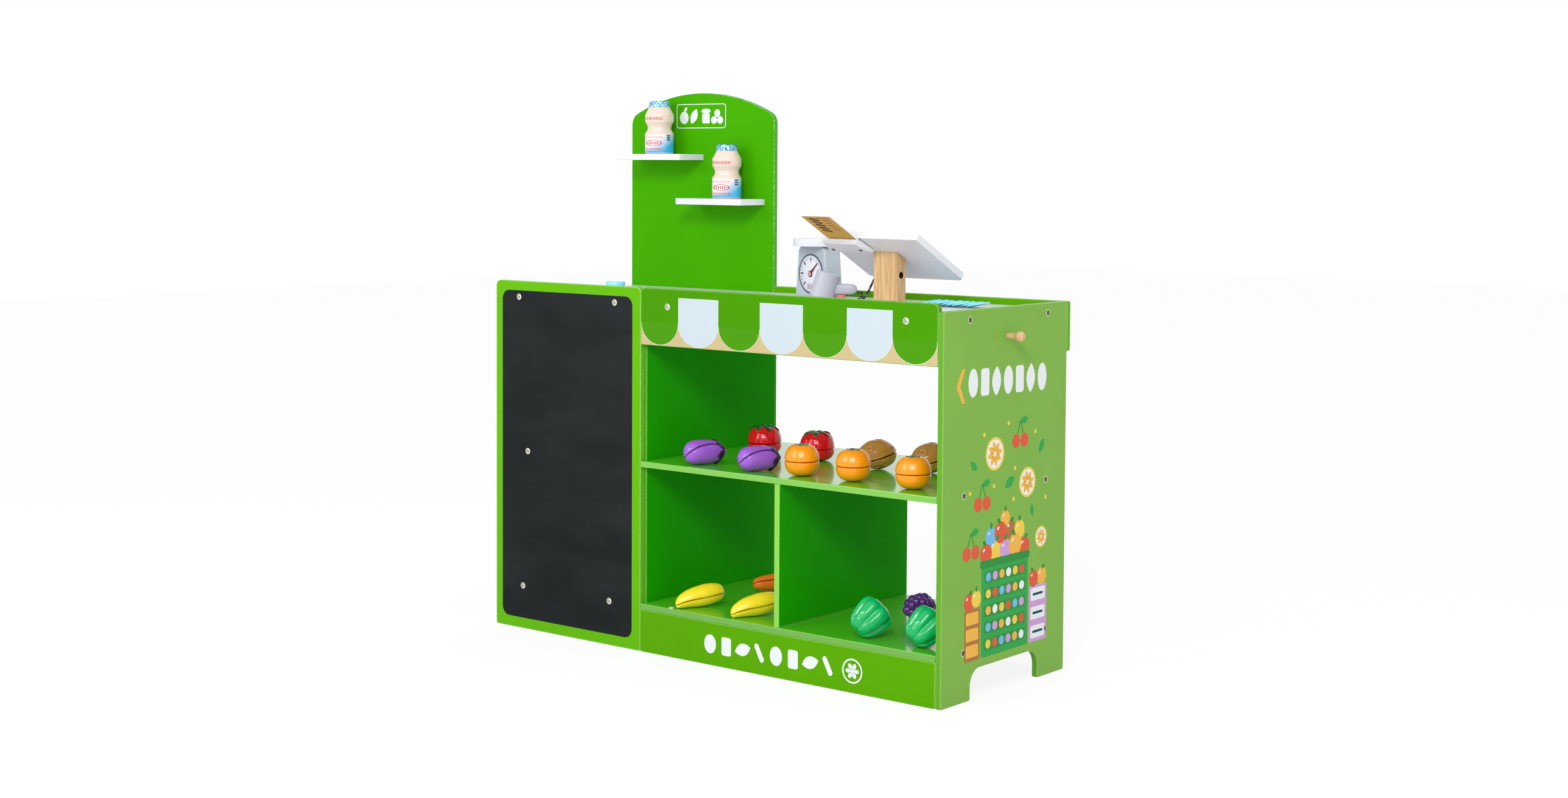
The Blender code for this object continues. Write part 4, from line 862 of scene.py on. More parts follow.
scale_grey = lacquer("grey_satin_lacquer", "B4BEC8", "D0D9E0", roughness=0.35)
outline = rounded([(0, 0, 3), (92, 0, 3), (83, 87.5, 12), (9, 87.5, 12)])
on_scale = {"place": SCALE_PLACE, "at": SCALE_AT}
board("scale_block", outline, -34.0, 0.0, scale_grey, **on_scale, ease=1.8, stands_for="scale_body")
dial_face = ink("dial_paper", "E3E5EE", 0.4)
dial_at = np.array(SCALE_AT) + SCALE_PLACE @ (SCALE_MID, DIAL_H, 0.0)
dial_rows = [(0.0, 0.3), (0.0, 1.0), (0.1, 1.1)]
disc = plate(ellipse(0, 0, DIAL_R, count=72), dial_rows, SCALE_PLACE, dial_at)
piece("dial_sheet", disc, dial_face, "scale_dial")
rim_profile = [(DIAL_R, 0.3), (DIAL_R, 1.5), (34.1, DIAL_T), (32.2, DIAL_T), (31.6, 1.5)]
rim_profile += [(31.4, 0.9), (31.4, 0.3)]
rim = moved(looped(lathe(rim_profile, 72, eased=False)), SCALE_PLACE, dial_at)
piece("dial_rim", rim, ink("dial_rim_slate", "5E6B7A", 0.35), rides="scale")


def lozenge(radius, length, width, angle):
    """A diamond whose long axis points outwards at an angle clockwise from the top."""
    line = np.array([(0, -length / 2), (width / 2, 0), (0, length / 2), (-width / 2, 0)]) + (0, radius)
    return line @ turn("z", -angle)[:2, :2].T


ticks = [lozenge(24.8, 11.6, 3.3, a) for a in (-135, -90, -45, 0, 45, 90, 135)]
ticks += [lozenge(27.6, 5.0, 1.4, a + 11.25 * n) for a in (-135, -90, -45, 0, 45, 90) for n in (1, 2, 3)]
dial_print = joined([plate(line, [(0.0, 0.8), (0.0, 1.2)], SCALE_PLACE, dial_at) for line in ticks])
piece("dial_marks", dial_print, ink("dial_slate_ink", "3D4655", 0.4), rides="scale")
label_line = rectangle(-9.0, 9.0, -26.0, -18.0, 1.0)
label = [hoop(label_line, inset(label_line, 0.8), 1.1, LEVEL, 0.1)]
label += [film(bar(-5.4 + 3.6 * k, -22.0, 1.6, 4.4), 1.1, LEVEL, 0.1) for k in range(4)]
red_ink = ink("dial_red_ink", "B0342E", 0.4)
piece("dial_label", moved(joined(label), SCALE_PLACE, dial_at), red_ink, rides="scale")

a = np.radians(np.linspace(108, 432, 40))
hub = 5.5 * np.column_stack([np.cos(a), np.sin(a)])
hand_line = np.vstack([hub, [(0.45, 27.6), (0.0, 28.0), (-0.45, 27.6)]])
root_line = np.array([(-1.2, -1.6), (1.2, -1.6), (0.9, 6.0), (-0.9, 6.0)])
hand_rows = [(0.0, DIAL_T + 0.3), (0.0, DIAL_T + 1.1), (0.15, DIAL_T + 1.25)]
root_rows = [(0.0, DIAL_T + 1.1), (0.0, DIAL_T + 1.6)]
cap_rows = [(0.0, DIAL_T + 1.2), (0.0, DIAL_T + 1.4), (0.2, DIAL_T + 1.5)]
on_dial = (SCALE_PLACE @ turn("z", -HAND_TILT), dial_at)
hand = joined([plate(hand_line, hand_rows, *on_dial), plate(root_line, root_rows, *on_dial)])
piece("scale_hand", hand, ink("dark_red_enamel", "7C0E16", 0.3), "scale_needle")
cap = plate(ellipse(0, 0, 3.6), cap_rows, *on_dial)
piece("hand_hub_cap", cap, ink("white_hub_enamel", "E9E4E4", 0.35), rides="scale_needle")
plate_at = np.array(SCALE_AT) + turn("z", SCALE_YAW) @ (SCALE_MID, 17.0, PLATE_LOW)
disc = ellipse(0, 0, PLATE_R, count=96)
board("weighing_plate", disc, 0.0, PLATE_T, white_lacquer, at=plate_at, stands_for="scale_platform")

# Hand scanner: grey moulded plastic. A leaning round head with a raised rim, a flattened handle with a
# rounded end plugged into it, and a soft red trigger under the handle.
SCANNER_LEAN = 16.9
HEAD_PROFILE = (
    (18.0, 0.0), (20.2, 0.1), (20.8, 1.0), (20.8, 20.0), (20.8, 41.2), (20.5, 42.3), (19.6, 42.5),
    (19.1, 41.9), (18.7, 40.6), (17.0, 40.2), (8.0, 40.1),
)
HEAD_R = 20.8
HANDLE_START, HANDLE_W, HANDLE_H, HANDLE_MID = 12.5, 18.0, 17.5, 20.25


def moulded(name, colour, roughness=0.35, coat=0.0):
    """Moulded plastic: an even colour with a very slight drift and a fine spark-eroded grain."""
    return finish(
        name, colour, (30.0, 2.0, 0.06), (1100.0, 2.0, 0.02),
        Roughness=roughness, Specular_IOR_Level=0.3, Coat_Weight=coat, Coat_Roughness=0.05,
    )[0]


scanner_grey = moulded("grey_moulded_plastic", "BDBECB", 0.34)
head = skin(lathe(HEAD_PROFILE, 72, 0.8), low_tip=(0, 0, 0.0), high_tip=(0, 0, 40.1))
head_at = np.array(SCANNER_SPOT) + (0, 0, HEAD_R * math.sin(math.radians(SCANNER_LEAN)))
head = moved(head, handle_turn @ turn("y", SCANNER_LEAN), head_at)
piece("scanner_round_head", head, scanner_grey, "scanner_head")

s, a = np.linspace(0, 1, 30)[:, None], circle(48)[None, :]
girth = np.sqrt(np.clip(1 - np.clip((s - 0.74) / 0.26, 0, 1) ** 2.4, 0, 1))
sides = ((HANDLE_W, np.cos(a)), (HANDLE_H, np.sin(a)))
ring_y, ring_z = (size / 2 * np.sign(wave) * np.sqrt(np.abs(wave)) for size, wave in sides)
along = HANDLE_START + (HANDLE_END - HANDLE_START) * s + 0 * a
rings = np.stack([along, ring_y * (0.6 + 0.4 * girth), ring_z * girth + HANDLE_MID], axis=-1)
grip = moved(skin(rings[:-1], high_tip=(HANDLE_END, 0.0, HANDLE_MID)), handle_turn, SCANNER_SPOT)
piece("scanner_grip", grip, scanner_grey, "scanner_handle")
outline = rounded([(24.5, -5, 2), (39.5, -5, 2), (39.5, 5, 2), (24.5, 5, 2)], 5)
trigger_rows = [(1.6, 0.1), (0.5, 0.4), (0.0, 1.4), (0.0, 10.4), (0.6, 11.2)]
trigger = plate(outline, trigger_rows, handle_turn, SCANNER_SPOT)
piece("scanner_red_trigger", trigger, moulded("soft_red_plastic", "D9706C", 0.42), "scanner_trigger")

# Play coins: eight moulded discs of light blue plastic with a raised rim and star, leaning in a row on
# the counter, each on the one beneath it.
COIN_R, COIN_T, COIN_FIELD = 19.0, 2.5, 0.35
COIN_LEAN, COIN_STEP, COIN_YAW = 12.0, 13.5, 40
COIN_SPOT = (410.0, 250.0)
COIN_SIDE_STEPS = (0.0, 2.0, -2.0, 3.0, 1.0, -2.0, 2.0, 0.0)
STAR_R = (9.5, 4.6)

coin_blue = moulded("light_blue_moulded_plastic", "8CE4F6", 0.2, 0.3)
coin_lift = COIN_R * math.sin(math.radians(COIN_LEAN)) + COIN_T / 2 * math.cos(math.radians(COIN_LEAN))
half, field = COIN_T / 2, COIN_T / 2 - COIN_FIELD
profile = [(14.0, -field), (15.6, -field), (16.1, -half), (18.2, -half), (18.9, 0.5 - half), (COIN_R, 0.0)]
profile += [(r, -z) for r, z in profile[-2::-1]]
disc = skin(lathe(profile, 64, eased=False), low_tip=(0, 0, -field), high_tip=(0, 0, field))
tips = [(STAR_R[k % 2], math.pi * k / 5) for k in range(10)]
star = np.array([(r * math.sin(a), r * math.cos(a)) for r, a in tips[::-1]])
coin = joined([disc, plate(star, [(0.0, 0.05 - half), (0.0, half - 0.05)])])
for k, aside in enumerate(COIN_SIDE_STEPS):
    spot = (COIN_SPOT[0] + COIN_STEP * k, COIN_SPOT[1] + aside, COUNTER + coin_lift)
    lean = turn("y", -COIN_LEAN) @ turn("z", COIN_YAW * k)
    piece(f"blue_coin_{k + 1}", moved(coin, lean, spot), coin_blue, f"play_coin_{k + 1}")

# Tin: a round light blue pot with a pressed lid that overlaps it, on the counter behind the blackboard.
TIN_SPOT = (-255.0, 210.0, COUNTER)
TIN_PROFILE = (
    (14.0, 0.0), (16.4, 0.1), (17.0, 0.8), (17.0, 8.6), (17.1, 9.0), (17.5, 9.2), (17.5, 13.2), (16.9, 14.3),
    (15.8, 14.5), (15.0, 14.0), (12.0, 13.9),
)
tin = skin(lathe(TIN_PROFILE, 72, eased=False), low_tip=(0, 0, 0.0), high_tip=(0, 0, 13.9))
piece("round_blue_tin", moved(tin, LEVEL, TIN_SPOT), coin_blue, "play_tin")

# Play drinks: two small hollow bottles of cream plastic with a printed sleeve round the lower half, and
# a crinkled foil cap. They stand on the wall shelves.
BOTTLE_SPOTS = {"drink_bottle_upper": (-243.8, 315.5, 833.8), "drink_bottle_lower": (-81.0, 315.5, 753.8)}
BOTTLE_PROFILE = (
    (22.0, 0.0), (25.2, 0.1), (26.2, 0.7), (26.5, 1.9), (26.6, 6.0), (26.6, 20.0), (26.6, 35.6),
    (26.3, 37.0), (25.7, 38.6), (23.6, 41.6), (22.2, 44.4), (21.8, 47.6), (22.2, 50.8), (23.4, 53.6),
    (25.4, 57.0), (26.2, 58.4), (26.5, 59.2), (26.5, 65.0), (26.4, 71.4), (25.9, 72.4), (24.9, 74.2),
    (21.8, 80.2), (18.6, 86.4), (16.0, 86.9), (12.0, 86.9),
)
WAIST = 47.6
CAP_PROFILE = (
    (17.0, 86.3), (19.0, 86.0), (20.0, 86.6), (19.2, 88.4), (18.9, 92.0), (18.6, 94.8), (17.6, 96.6),
    (15.8, 97.0), (9.0, 96.6),
)
CRINKLES, CRINKLE_DEEP = 26, 0.35
PRINT_SIDE = math.radians(-51.3)
ROWS = (("top_row", 64.5, 2.6), ("middle_row", 30.5, 2.0), ("low_row", 8.8, 2.4), ("bar_row", 20.0, 2.6))
STRIPES = (("stripe_1", 25.6, 1.3), ("stripe_2", 29.4, 1.3), ("stripe_3", 33.2, 1.3))
SLEEVE_SHAPES = (
    ("front", "GREATER_THAN", "facing", 0.0),
    ("sleeve", "COMPARE", "height", 18.8, 16.8),
    ("slope", "MULTIPLY_ADD", "across", 20.0, 26.0),
    ("fall", "SUBTRACT", "slope", "height"),
    ("sky", "DIVIDE", "fall", 26.0),
    ("foot", "LESS_THAN", "height", 6.0),
    ("blue", "MAXIMUM", "sky", "foot"),
    ("left", "LESS_THAN", "across", 0.25),
    ("dash_turn", "MULTIPLY", "across", 62.0),
    ("dash_wave", "SINE", "dash_turn"),
    ("dash", "GREATER_THAN", "dash_wave", 0.1),
    ("wide", "MULTIPLY_ADD", "across", 26.6 / 15.0, 0.34 * 26.6 / 15.0),
    ("wide_squared", "MULTIPLY", "wide", "wide"),
    ("tall", "MULTIPLY_ADD", "height", 1 / 5.6, -20.0 / 5.6),
    ("oval", "MULTIPLY_ADD", "tall", "tall", "wide_squared"),
    ("hoop", "COMPARE", "oval", 0.86, 0.14),
    ("inside", "LESS_THAN", "oval", 0.5),
    ("bar_turn", "MULTIPLY", "across", 44.0),
    ("bar_wave", "SINE", "bar_turn"),
    ("bars", "GREATER_THAN", "bar_wave", 0.0),
    ("column", "COMPARE", "across", 0.66, 0.11),
    *((row, "COMPARE", "height", middle, reach) for row, middle, reach in ROWS + STRIPES),
)
SLEEVE_INKS = (
    ("EFE6E6", "sleeve"),
    ("3DB4E6", "sleeve", "blue"),
    ("C4272E", "front", "left", "dash", "top_row"),
    ("E79AA2", "front", "left", "dash", "middle_row"),
    ("C4272E", "front", "left", "dash", "low_row"),
    ("C4272E", "front", "hoop"),
    ("C4272E", "front", "inside", "bars", "bar_row"),
    *(("1D4B8C", "front", "column", row) for row, *_ in STRIPES),
)


def bottle_plastic():
    """Cream moulded polyethylene with a shrink sleeve: white turning to sky blue, rows of red dashes, a red
    hoop with bars in it and three short navy bars. Each ink is laid where all of its shapes are 1, and the
    shapes come from the height in mm and the sine (across) and cosine (facing) of the angle."""
    material, tree, shader, _, colour = finish(
        "cream_moulded_bottle", "E8D3C6", None, (160.0, 2.0, 0.05), Roughness=0.2, Coat_Weight=0.4,
        Coat_Roughness=0.06, Subsurface_Weight=0.15, Subsurface_Radius=(0.004, 0.003, 0.002),
    )
    known = {n: add(tree, "Attribute", out="Fac", attribute_name=n) for n in ("height", "across", "facing")}
    for shape, operation, *values in SLEEVE_SHAPES:
        inputs = {k: known.get(value, value) for k, value in enumerate(values)}
        known[shape] = add(tree, "Math", inputs, operation=operation)
    for code, first, *others in SLEEVE_INKS:
        share = known[first]
        for other in others:
            share = add(tree, "Math", {0: share, 1: known[other]}, operation="MULTIPLY")
        colour = add(tree, "Mix", {0: share, 6: colour, 7: srgb(code)}, 2, data_type="RGBA")
    tree.links.new(colour, shader.inputs["Base Color"])
    return material


def foil():
    """Printed aluminium foil: turquoise and white bands broken by navy flecks, crinkled and bright."""
    material, tree, shader, where, _ = finish("printed_cap_foil", "35A9D6", Roughness=0.3, Metallic=0.35)
    flecks = add(tree, "TexNoise", {"Vector": where, "Scale": 380.0, "Detail": 3.0})
    colour = srgb("2FA7D8")
    for code, start, end in (("E4F1F7", 0.53, 0.58), ("17456E", 0.44, 0.40)):
        share = add(tree, "MapRange", {0: flecks, 1: start, 2: end})
        colour = add(tree, "Mix", {0: share, 6: colour, 7: srgb(code)}, 2, data_type="RGBA")
    tree.links.new(colour, shader.inputs["Base Color"])
    add(tree, "Bump", {"Height": flecks, "Distance": 0.0005}, to=shader.inputs["Normal"])
    return material


cream_bottle, cap_foil = bottle_plastic(), foil()
rings = lathe(BOTTLE_PROFILE, 96, 0.7)
off = rings[..., 2] - WAIST
rings[..., :2] *= 1 + (0.22 * np.cos(off * 2.1) * bell(off, 5.0))[..., None] / 22.0
bottle = skin(rings, low_tip=(0, 0, 0.8), high_tip=(0, 0, 86.9))
angle = np.arctan2(bottle[0][:, 1], bottle[0][:, 0]) - PRINT_SIDE
marks = {"height": bottle[0][:, 2], "across": np.sin(angle), "facing": np.cos(angle)}
rings = lathe(CAP_PROFILE, 156, 0.7)
angle = np.arctan2(rings[..., 1], rings[..., 0])
skirt = np.clip((96.0 - rings[..., 2]) / 8.0, 0, 1)
crinkle = CRINKLE_DEEP * np.sin(CRINKLES * angle + 0.6 * np.sin(3 * angle)) * skirt
rings[..., :2] *= 1 + crinkle[..., None] / 19.0
cap = skin(rings, low_tip=(0, 0, 86.95), high_tip=(0, 0, 96.6))
for node, spot in BOTTLE_SPOTS.items():
    piece("cream_" + node, moved(bottle, LEVEL, spot), cream_bottle, node, **marks)
    piece("foil_cap_" + node, moved(cap, LEVEL, spot), cap_foil, rides=BODY_OF[node])

# Play oranges: glossy hollow plastic in two halves that pull apart; the joint is an open line with
# rounded lips, painted a darker orange in the gap and on the lips as shade, the peel has fine pits, and a
# tiny green star marks the stalk.
MID_REST, LOW_REST = 320.3, 81.3
JOINT, LIP = 0.45, 2.0
ORANGE_SPOTS = ((305.5, 47.6), (403.2, 54.0), (522.2, 48.4))


def dome(radius, reach, bulge, dimple, sign):
    """Points of a fruit's half at a latitude and an angle, as a function: r = R cos^bulge(latitude) and
    height = lip + (reach - lip) sin(latitude), less a bell-shaped dimple 7 mm wide at the top."""

    def point(latitude, angle):
        r = radius * np.cos(latitude) ** bulge + 0 * angle
        h = LIP + (reach - LIP) * np.sin(latitude) - dimple * bell(r, 7.0)
        return np.stack([r * np.cos(angle), r * np.sin(angle), sign * h + 0 * angle], axis=-1)

    return point


def fruit_half(point, sign, around=72, rows=26):
    """A closed half: its dome, a rounded lip at the joint and a flat joint face, an upper half for sign 1.
    Also its groove marks, which place painted shade: 1 on the joint face, less on the lip."""
    a = circle(around)[None, :]
    shell = point(np.radians(np.linspace(0, 88.5, rows))[:, None], a)
    t = np.radians([90.0, 60.0, 30.0])[:, None]
    scale = np.linalg.norm(shell[0, :, :2], axis=-1)[None, :] - LIP
    r = np.concatenate([scale * [[0.3], [0.7], [0.97]], scale + LIP * np.cos(t)])
    h = np.concatenate([np.full((3, 1), JOINT), LIP + JOINT - LIP * np.sin(t)]) * sign
    rings = np.concatenate([np.stack([r * np.cos(a), r * np.sin(a), h + 0 * a], axis=-1), shell])
    tips = [(0, 0, sign * JOINT), point(np.array(np.pi / 2), np.array(0.0))]
    marks = np.repeat([1.0, 1.0, 1.0, 0.9, 0.45, 0.1] + [0.0] * rows, around)
    if sign < 0:
        rings, tips, marks = rings[::-1], tips[::-1], marks[::-1]
    return skin(rings, *tips), np.append(marks, [1.0, 0.0][::sign])


def crown(point, arms, short, long, power, thick, twist=0.0, around=120, rows=14):
    """A leafy star lying on a fruit: at each angle it reaches from the top down to a latitude that swings
    between short and long as |cos(n a/2)|^power, and it thins towards its edge."""
    a, s = circle(around)[None, :], np.linspace(0.06, 1, rows)[:, None]
    arm = np.abs(np.cos(arms * a / 2))
    base = point(np.pi / 2 - s * np.radians(short + (long - short) * arm**power), a + twist * s**2)
    out = base / np.linalg.norm(base, axis=-1, keepdims=True)
    rise = thick * np.sqrt(np.clip(1.02 - s**6, 0, 1)) + 0.35 * thick * arm**14 * (1 - s)
    rings = np.concatenate([base - 0.5 * out, (base + out * rise[..., None])[::-1]])
    centre = point(np.array(np.pi / 2), np.array(0.0))
    return skin(rings, low_tip=centre - (0, 0, 0.5), high_tip=centre + (0, 0, thick))


def peel(name, colour, pit=0.0, roughness=0.16, groove="2A1206", drift=0.08, gloss=0.3, coat=0.15):
    """Glossy painted plastic play food: even colour, slightly darker in patches, and painted shade in the
    groove colour where the groove attribute is 1, in a joint gap and on its lips, with pits of about a
    millimetre where the real one has them."""
    material, tree, shader, where, tint = finish(
        name, colour, (45.0, 3.0, drift),
        Roughness=roughness, Specular_IOR_Level=gloss, Coat_Weight=coat, Coat_Roughness=0.03,
    )
    line = add(tree, "Attribute", out="Fac", attribute_name="groove")
    shades = {0: line, 6: tint, 7: srgb(groove)}
    add(tree, "Mix", shades, 2, shader.inputs["Base Color"], data_type="RGBA")
    cells = {"Vector": where, "Scale": 620.0, "Smoothness": 0.6}
    pits = add(tree, "TexVoronoi", cells, "Distance", feature="SMOOTH_F1")
    add(tree, "Bump", {"Height": pits, "Distance": pit * 0.001}, to=shader.inputs["Normal"])
    return material


def split_fruit(name, spot, radius, height, low_share, bulge, dimple, skin_of, crease=None):
    """Both halves of a fruit on the mid shelf, each riding with its own body; returns the upper dome."""
    low = height * low_share
    at = (*spot, MID_REST + low)
    for half_name, sign, reach, dent in (("lower", -1, low, 0.0), ("upper", 1, height - low, dimple)):
        point = dome(radius, reach, bulge, dent, sign)
        if crease:
            point = crease(point)
        solid, marks = fruit_half(point, sign)
        node = f"{name}_{half_name}"
        piece("glossy_" + node, moved(solid, LEVEL, at), skin_of, node, groove=marks)
    return point, at


orange_peel = peel("orange_plastic_peel", "FF980C", 0.15, 0.22, "F07C08", coat=0.3)
stalk_green = peel("leaf_green_plastic", "12612A", 0.02, 0.2)
for k, spot in enumerate(ORANGE_SPOTS):
    name = f"orange_{k + 1}"
    top, at = split_fruit(name, spot, 27.8, 50.0, 0.47, 0.60, 2.0, orange_peel)
    star = moved(crown(top, 5, 6, 15, 1.6, 0.9, around=80, rows=8), turn("z", 70 * k), at)
    piece(name + "_stalk_star", star, stalk_green, rides=name + "_upper")

# Play tomatoes: deep red, in two halves, with ribbed shoulders and dark green leaves lying over the top.
TOMATO_SPOTS = ((101.2, 203.3), (215.6, 202.9))


def ribbed(point):
    """Six soft ribs: near the top the radius falls by 7% in each crease, as a bell 9 degrees wide."""

    def made(latitude, angle):
        p = point(latitude, angle)
        off = (np.degrees(angle) / 60 % 1 - 0.5) * 60 + 0 * latitude
        pull = 0.07 * bell(off, 9.0) * np.clip(p[..., 2] / 20, 0, 1) ** 2
        return p * np.stack([1 - pull, 1 - pull, 1 - 0.5 * pull], axis=-1)

    return made


# The tomatoes' joint gap and lips are painted a slightly darker red as shade.
tomato_skin = peel("tomato_red_plastic", "E01020", 0.0, 0.10, "D01020", coat=0.25)
for k, spot in enumerate(TOMATO_SPOTS):
    name = f"tomato_{k + 1}"
    top, at = split_fruit(name, spot, 29.2, 48.0, 0.42, 0.50, 4.0, tomato_skin, ribbed)
    leaves = moved(crown(top, 6, 10, 47, 4.6, 1.3, 0.35), turn("z", 20 + 25 * k), at)
    piece(name + "_leaves", leaves, stalk_green, rides=name + "_upper")

# Play potatoes: olive-brown hollow plastic, lumpy, with pressed eyes and a tilted joint groove painted dark
# brown as shade.
POTATO_SPOTS = ((356.0, 182.2), (448.0, 202.0))
SIDEWAYS, FORWARD, UP = np.array([(0.78, 0.625, 0.0), (0.625, -0.78, 0.0), (0.0, 0.0, 1.0)])
YAW = 63.0
POTATO = (33.0, 26.0, 24.5)
POTATO_EYES = (
    (0.35, 0.45, 0.80), (-0.45, 0.72, 0.42), (0.80, 0.40, 0.40), (0.45, 0.75, -0.5), (-0.1, 0.75, -0.7),
    (0.1, -0.1, 0.99), (-0.5, -0.6, 0.5), (0.5, -0.75, 0.3),
)


def pressed(points, distance, depth, width):
    """Points pressed in towards the z axis by depth times a bell of the distance; also the bell."""
    share = bell(distance, width)
    inward = points * (1, 1, 0)
    size = np.maximum(np.linalg.norm(inward, axis=-1, keepdims=True), 1.0)
    return points - inward / size * (depth * share)[..., None], share


def egg(a, b, c, rows=130, around=150):
    """An ellipsoid about the x axis: x = a sin t, and the other two b and c times cos t round the ring."""
    t, w = np.radians(np.linspace(-88.5, 88.5, rows))[:, None], circle(around)[None, :]
    return np.stack([a * np.sin(t) + 0 * w, b * np.cos(t) * np.cos(w), c * np.cos(t) * np.sin(w)], axis=-1)


def dropped(points, rest):
    """How far up to move the points so that the lowest one lies on a surface."""
    return rest - points[..., 2].min()


def marked(share, *tips):
    """The groove mark of every point and of the tips."""
    return np.append(share.reshape(-1), tips)


potato_skin = peel("potato_brown_plastic", "B68038", 0.0, 0.2, "3A2108", 0.10)
for k, (x, y) in enumerate(POTATO_SPOTS):
    p = egg(*POTATO) @ turn("z", YAW).T
    unit = p / np.linalg.norm(p, axis=-1, keepdims=True)
    lump = 0.03 * np.sin(5 * unit[..., 0] + 2 + k) * np.cos(4 * unit[..., 2] + k)
    p = p * (1 - np.abs(lump))[..., None]
    for eye in POTATO_EYES @ np.array([SIDEWAYS, FORWARD, UP]):
        off = np.arccos(np.clip(unit @ eye / np.linalg.norm(eye), -1, 1)) * 26
        p = p * (1 + (1.1 * bell(off - 4.4, 2.2) - 2.6 * bell(off, 2.3))[..., None] / 26)
    normal = UP - 0.31 * SIDEWAYS
    off = (np.sum(p * normal, axis=-1) + 5.5) / np.linalg.norm(normal)
    share = bell(off, 1.1, 4)
    p = p * (1 - (2.4 * share - 0.7 * bell(np.abs(off) - 2.4, 1.0)) / 26)[..., None]
    tips = [end * POTATO[0] * 0.985 * turn("z", YAW)[:, 0] for end in (-1, 1)]
    solid = moved(skin(p, *tips), LEVEL, (x, y, dropped(p, MID_REST)))
    piece(f"lumpy_potato_{k + 1}", solid, potato_skin, f"potato_{k + 1}", groove=marked(share, 0, 0))

# Play eggplants: violet, lying on their sides, with a groove along them painted black as shade, and a curled
# black calyx.
EGGPLANT_SPOTS = ((106.4, 42.0), (222.6, 42.0))
EGGPLANT_R = 20.5
EGGPLANT_PROFILE = (
    (2.5, -36.9), (7.8, -36.0), (13.0, -33.2), (17.4, -28.0), (19.8, -21.0), (EGGPLANT_R, -12.0),
    (20.4, -3.0), (19.8, 6.0), (18.6, 14.0), (16.8, 21.0), (13.8, 27.0), (9.4, 30.8), (5.0, 32.0),
    (4.4, 34.0), (4.2, 36.2), (2.6, 37.0),
)
LYING = turn("z", YAW) @ turn("y", 90)


def lengthwise(rings, angle, depth=2.2, width=1.1, tilt=0.0, bow=0.0):
    """A groove near the plane through the z axis at an angle, tilted and bowed along it: its distance is
    y cos - x sin + tilt z + bow (1 - (z/30)^2)."""
    c, s = math.cos(math.radians(angle)), math.sin(math.radians(angle))
    drift = tilt * rings[..., 2] + bow * (1 - (rings[..., 2] / 30.0) ** 2)
    return pressed(rings, rings[..., 1] * c - rings[..., 0] * s + drift, depth, width)


eggplant_skin = peel("violet_plastic", "9A58CC", 0.0, 0.1, "12061A", coat=0.3)
calyx_black = peel("dark_violet_plastic_calyx", "2A1238", 0.0, 0.3, gloss=0.08, coat=0.0)
rings, share = lengthwise(lathe(EGGPLANT_PROFILE, 144, 0.7), 240, 2.4, 1.3, 0.13, 5.5)
body = skin(rings, low_tip=(0, 0, -36.95), high_tip=(0, 0, 37.0))
body_marks = marked(share, 0, 0)
a, s = circle(96)[None, :], np.linspace(0, 1, 16)[:, None]
petal = np.abs(np.cos(2.5 * a)) ** 1.2
back = 32.2 - s * (6.0 + 10.0 * petal)
body_r = np.interp(back, *np.array(EGGPLANT_PROFILE).T[::-1])
curl = 3.2 * s**3 * petal
inner, outer = (
    np.stack([r * np.cos(a), r * np.sin(a), back - low], axis=-1)
    for r, low in ((body_r - 0.6 + 0.95 * curl, 0.2), (body_r + 1.0 + curl, 0.0))
)
calyx = skin(np.concatenate([inner, outer[::-1]]), low_tip=(0, 0, 32.0), high_tip=(0, 0, 33.4))
for k, (x, y) in enumerate(EGGPLANT_SPOTS):
    node, at = f"eggplant_{k + 1}", (x, y, MID_REST + EGGPLANT_R)
    piece("violet_" + node, moved(body, LYING, at), eggplant_skin, node, groove=body_marks)
    piece(node + "_calyx", moved(calyx, LYING, at), calyx_black, rides=node)

# Play bananas: short, plump and yellow, blunt at the near end, with a joint groove along the middle painted
# brown as shade.
BANANA_SPOTS = ((94.9, 44.0), (211.6, 47.0))
BANANA_L, BANANA_R, BANANA_BEND = 87.0, 18.0, 12.0
BANANA_GIRTH = (0.36, 0.60, 0.74, 0.84, 0.91, 0.96, 1.0, 1.0, 0.96, 0.88, 0.74, 0.48)
banana_skin = peel("banana_yellow_plastic", "FFE02E", 0.0, 0.14, "5A3208", 0.05)
s = (0.5 - 0.5 * np.cos(np.pi * np.linspace(0.02, 0.98, 80)))[:, None]
a = circle(72)[None, :]
girth = BANANA_R * np.interp(s, np.linspace(0, 1, 12), BANANA_GIRTH)
closing = np.clip(1 - s / 0.05, 0, 1) + np.clip((s - 0.9) / 0.1, 0, 1)
r = girth * np.sqrt(np.clip(1 - closing**2, 0.0, 1))
spine = girth + BANANA_BEND * (np.clip(s - 0.45, 0, 1) / 0.55) ** 2
rings = np.stack([BANANA_L * (s - 0.5) + 0 * a, r * np.cos(a), r * np.sin(a)], axis=-1)
share = bell(rings[..., 2] + 0.8, 0.9, 4)
rings[..., 1:] *= (1 - 2.2 * share / np.maximum(r, 4.0))[..., None]
rings[..., 2] += spine
tips = [(BANANA_L * (s[end, 0] - 0.5) + out, 0, spine[end, 0]) for end, out in ((0, -0.1), (-1, 0.1))]
banana = skin(rings, *tips)
for k, (x, y) in enumerate(BANANA_SPOTS):
    solid = moved(banana, turn("z", YAW), (x, y, dropped(rings, LOW_REST)))
    piece(f"yellow_banana_{k + 1}", solid, banana_skin, f"banana_{k + 1}", groove=marked(share, 1, 1))

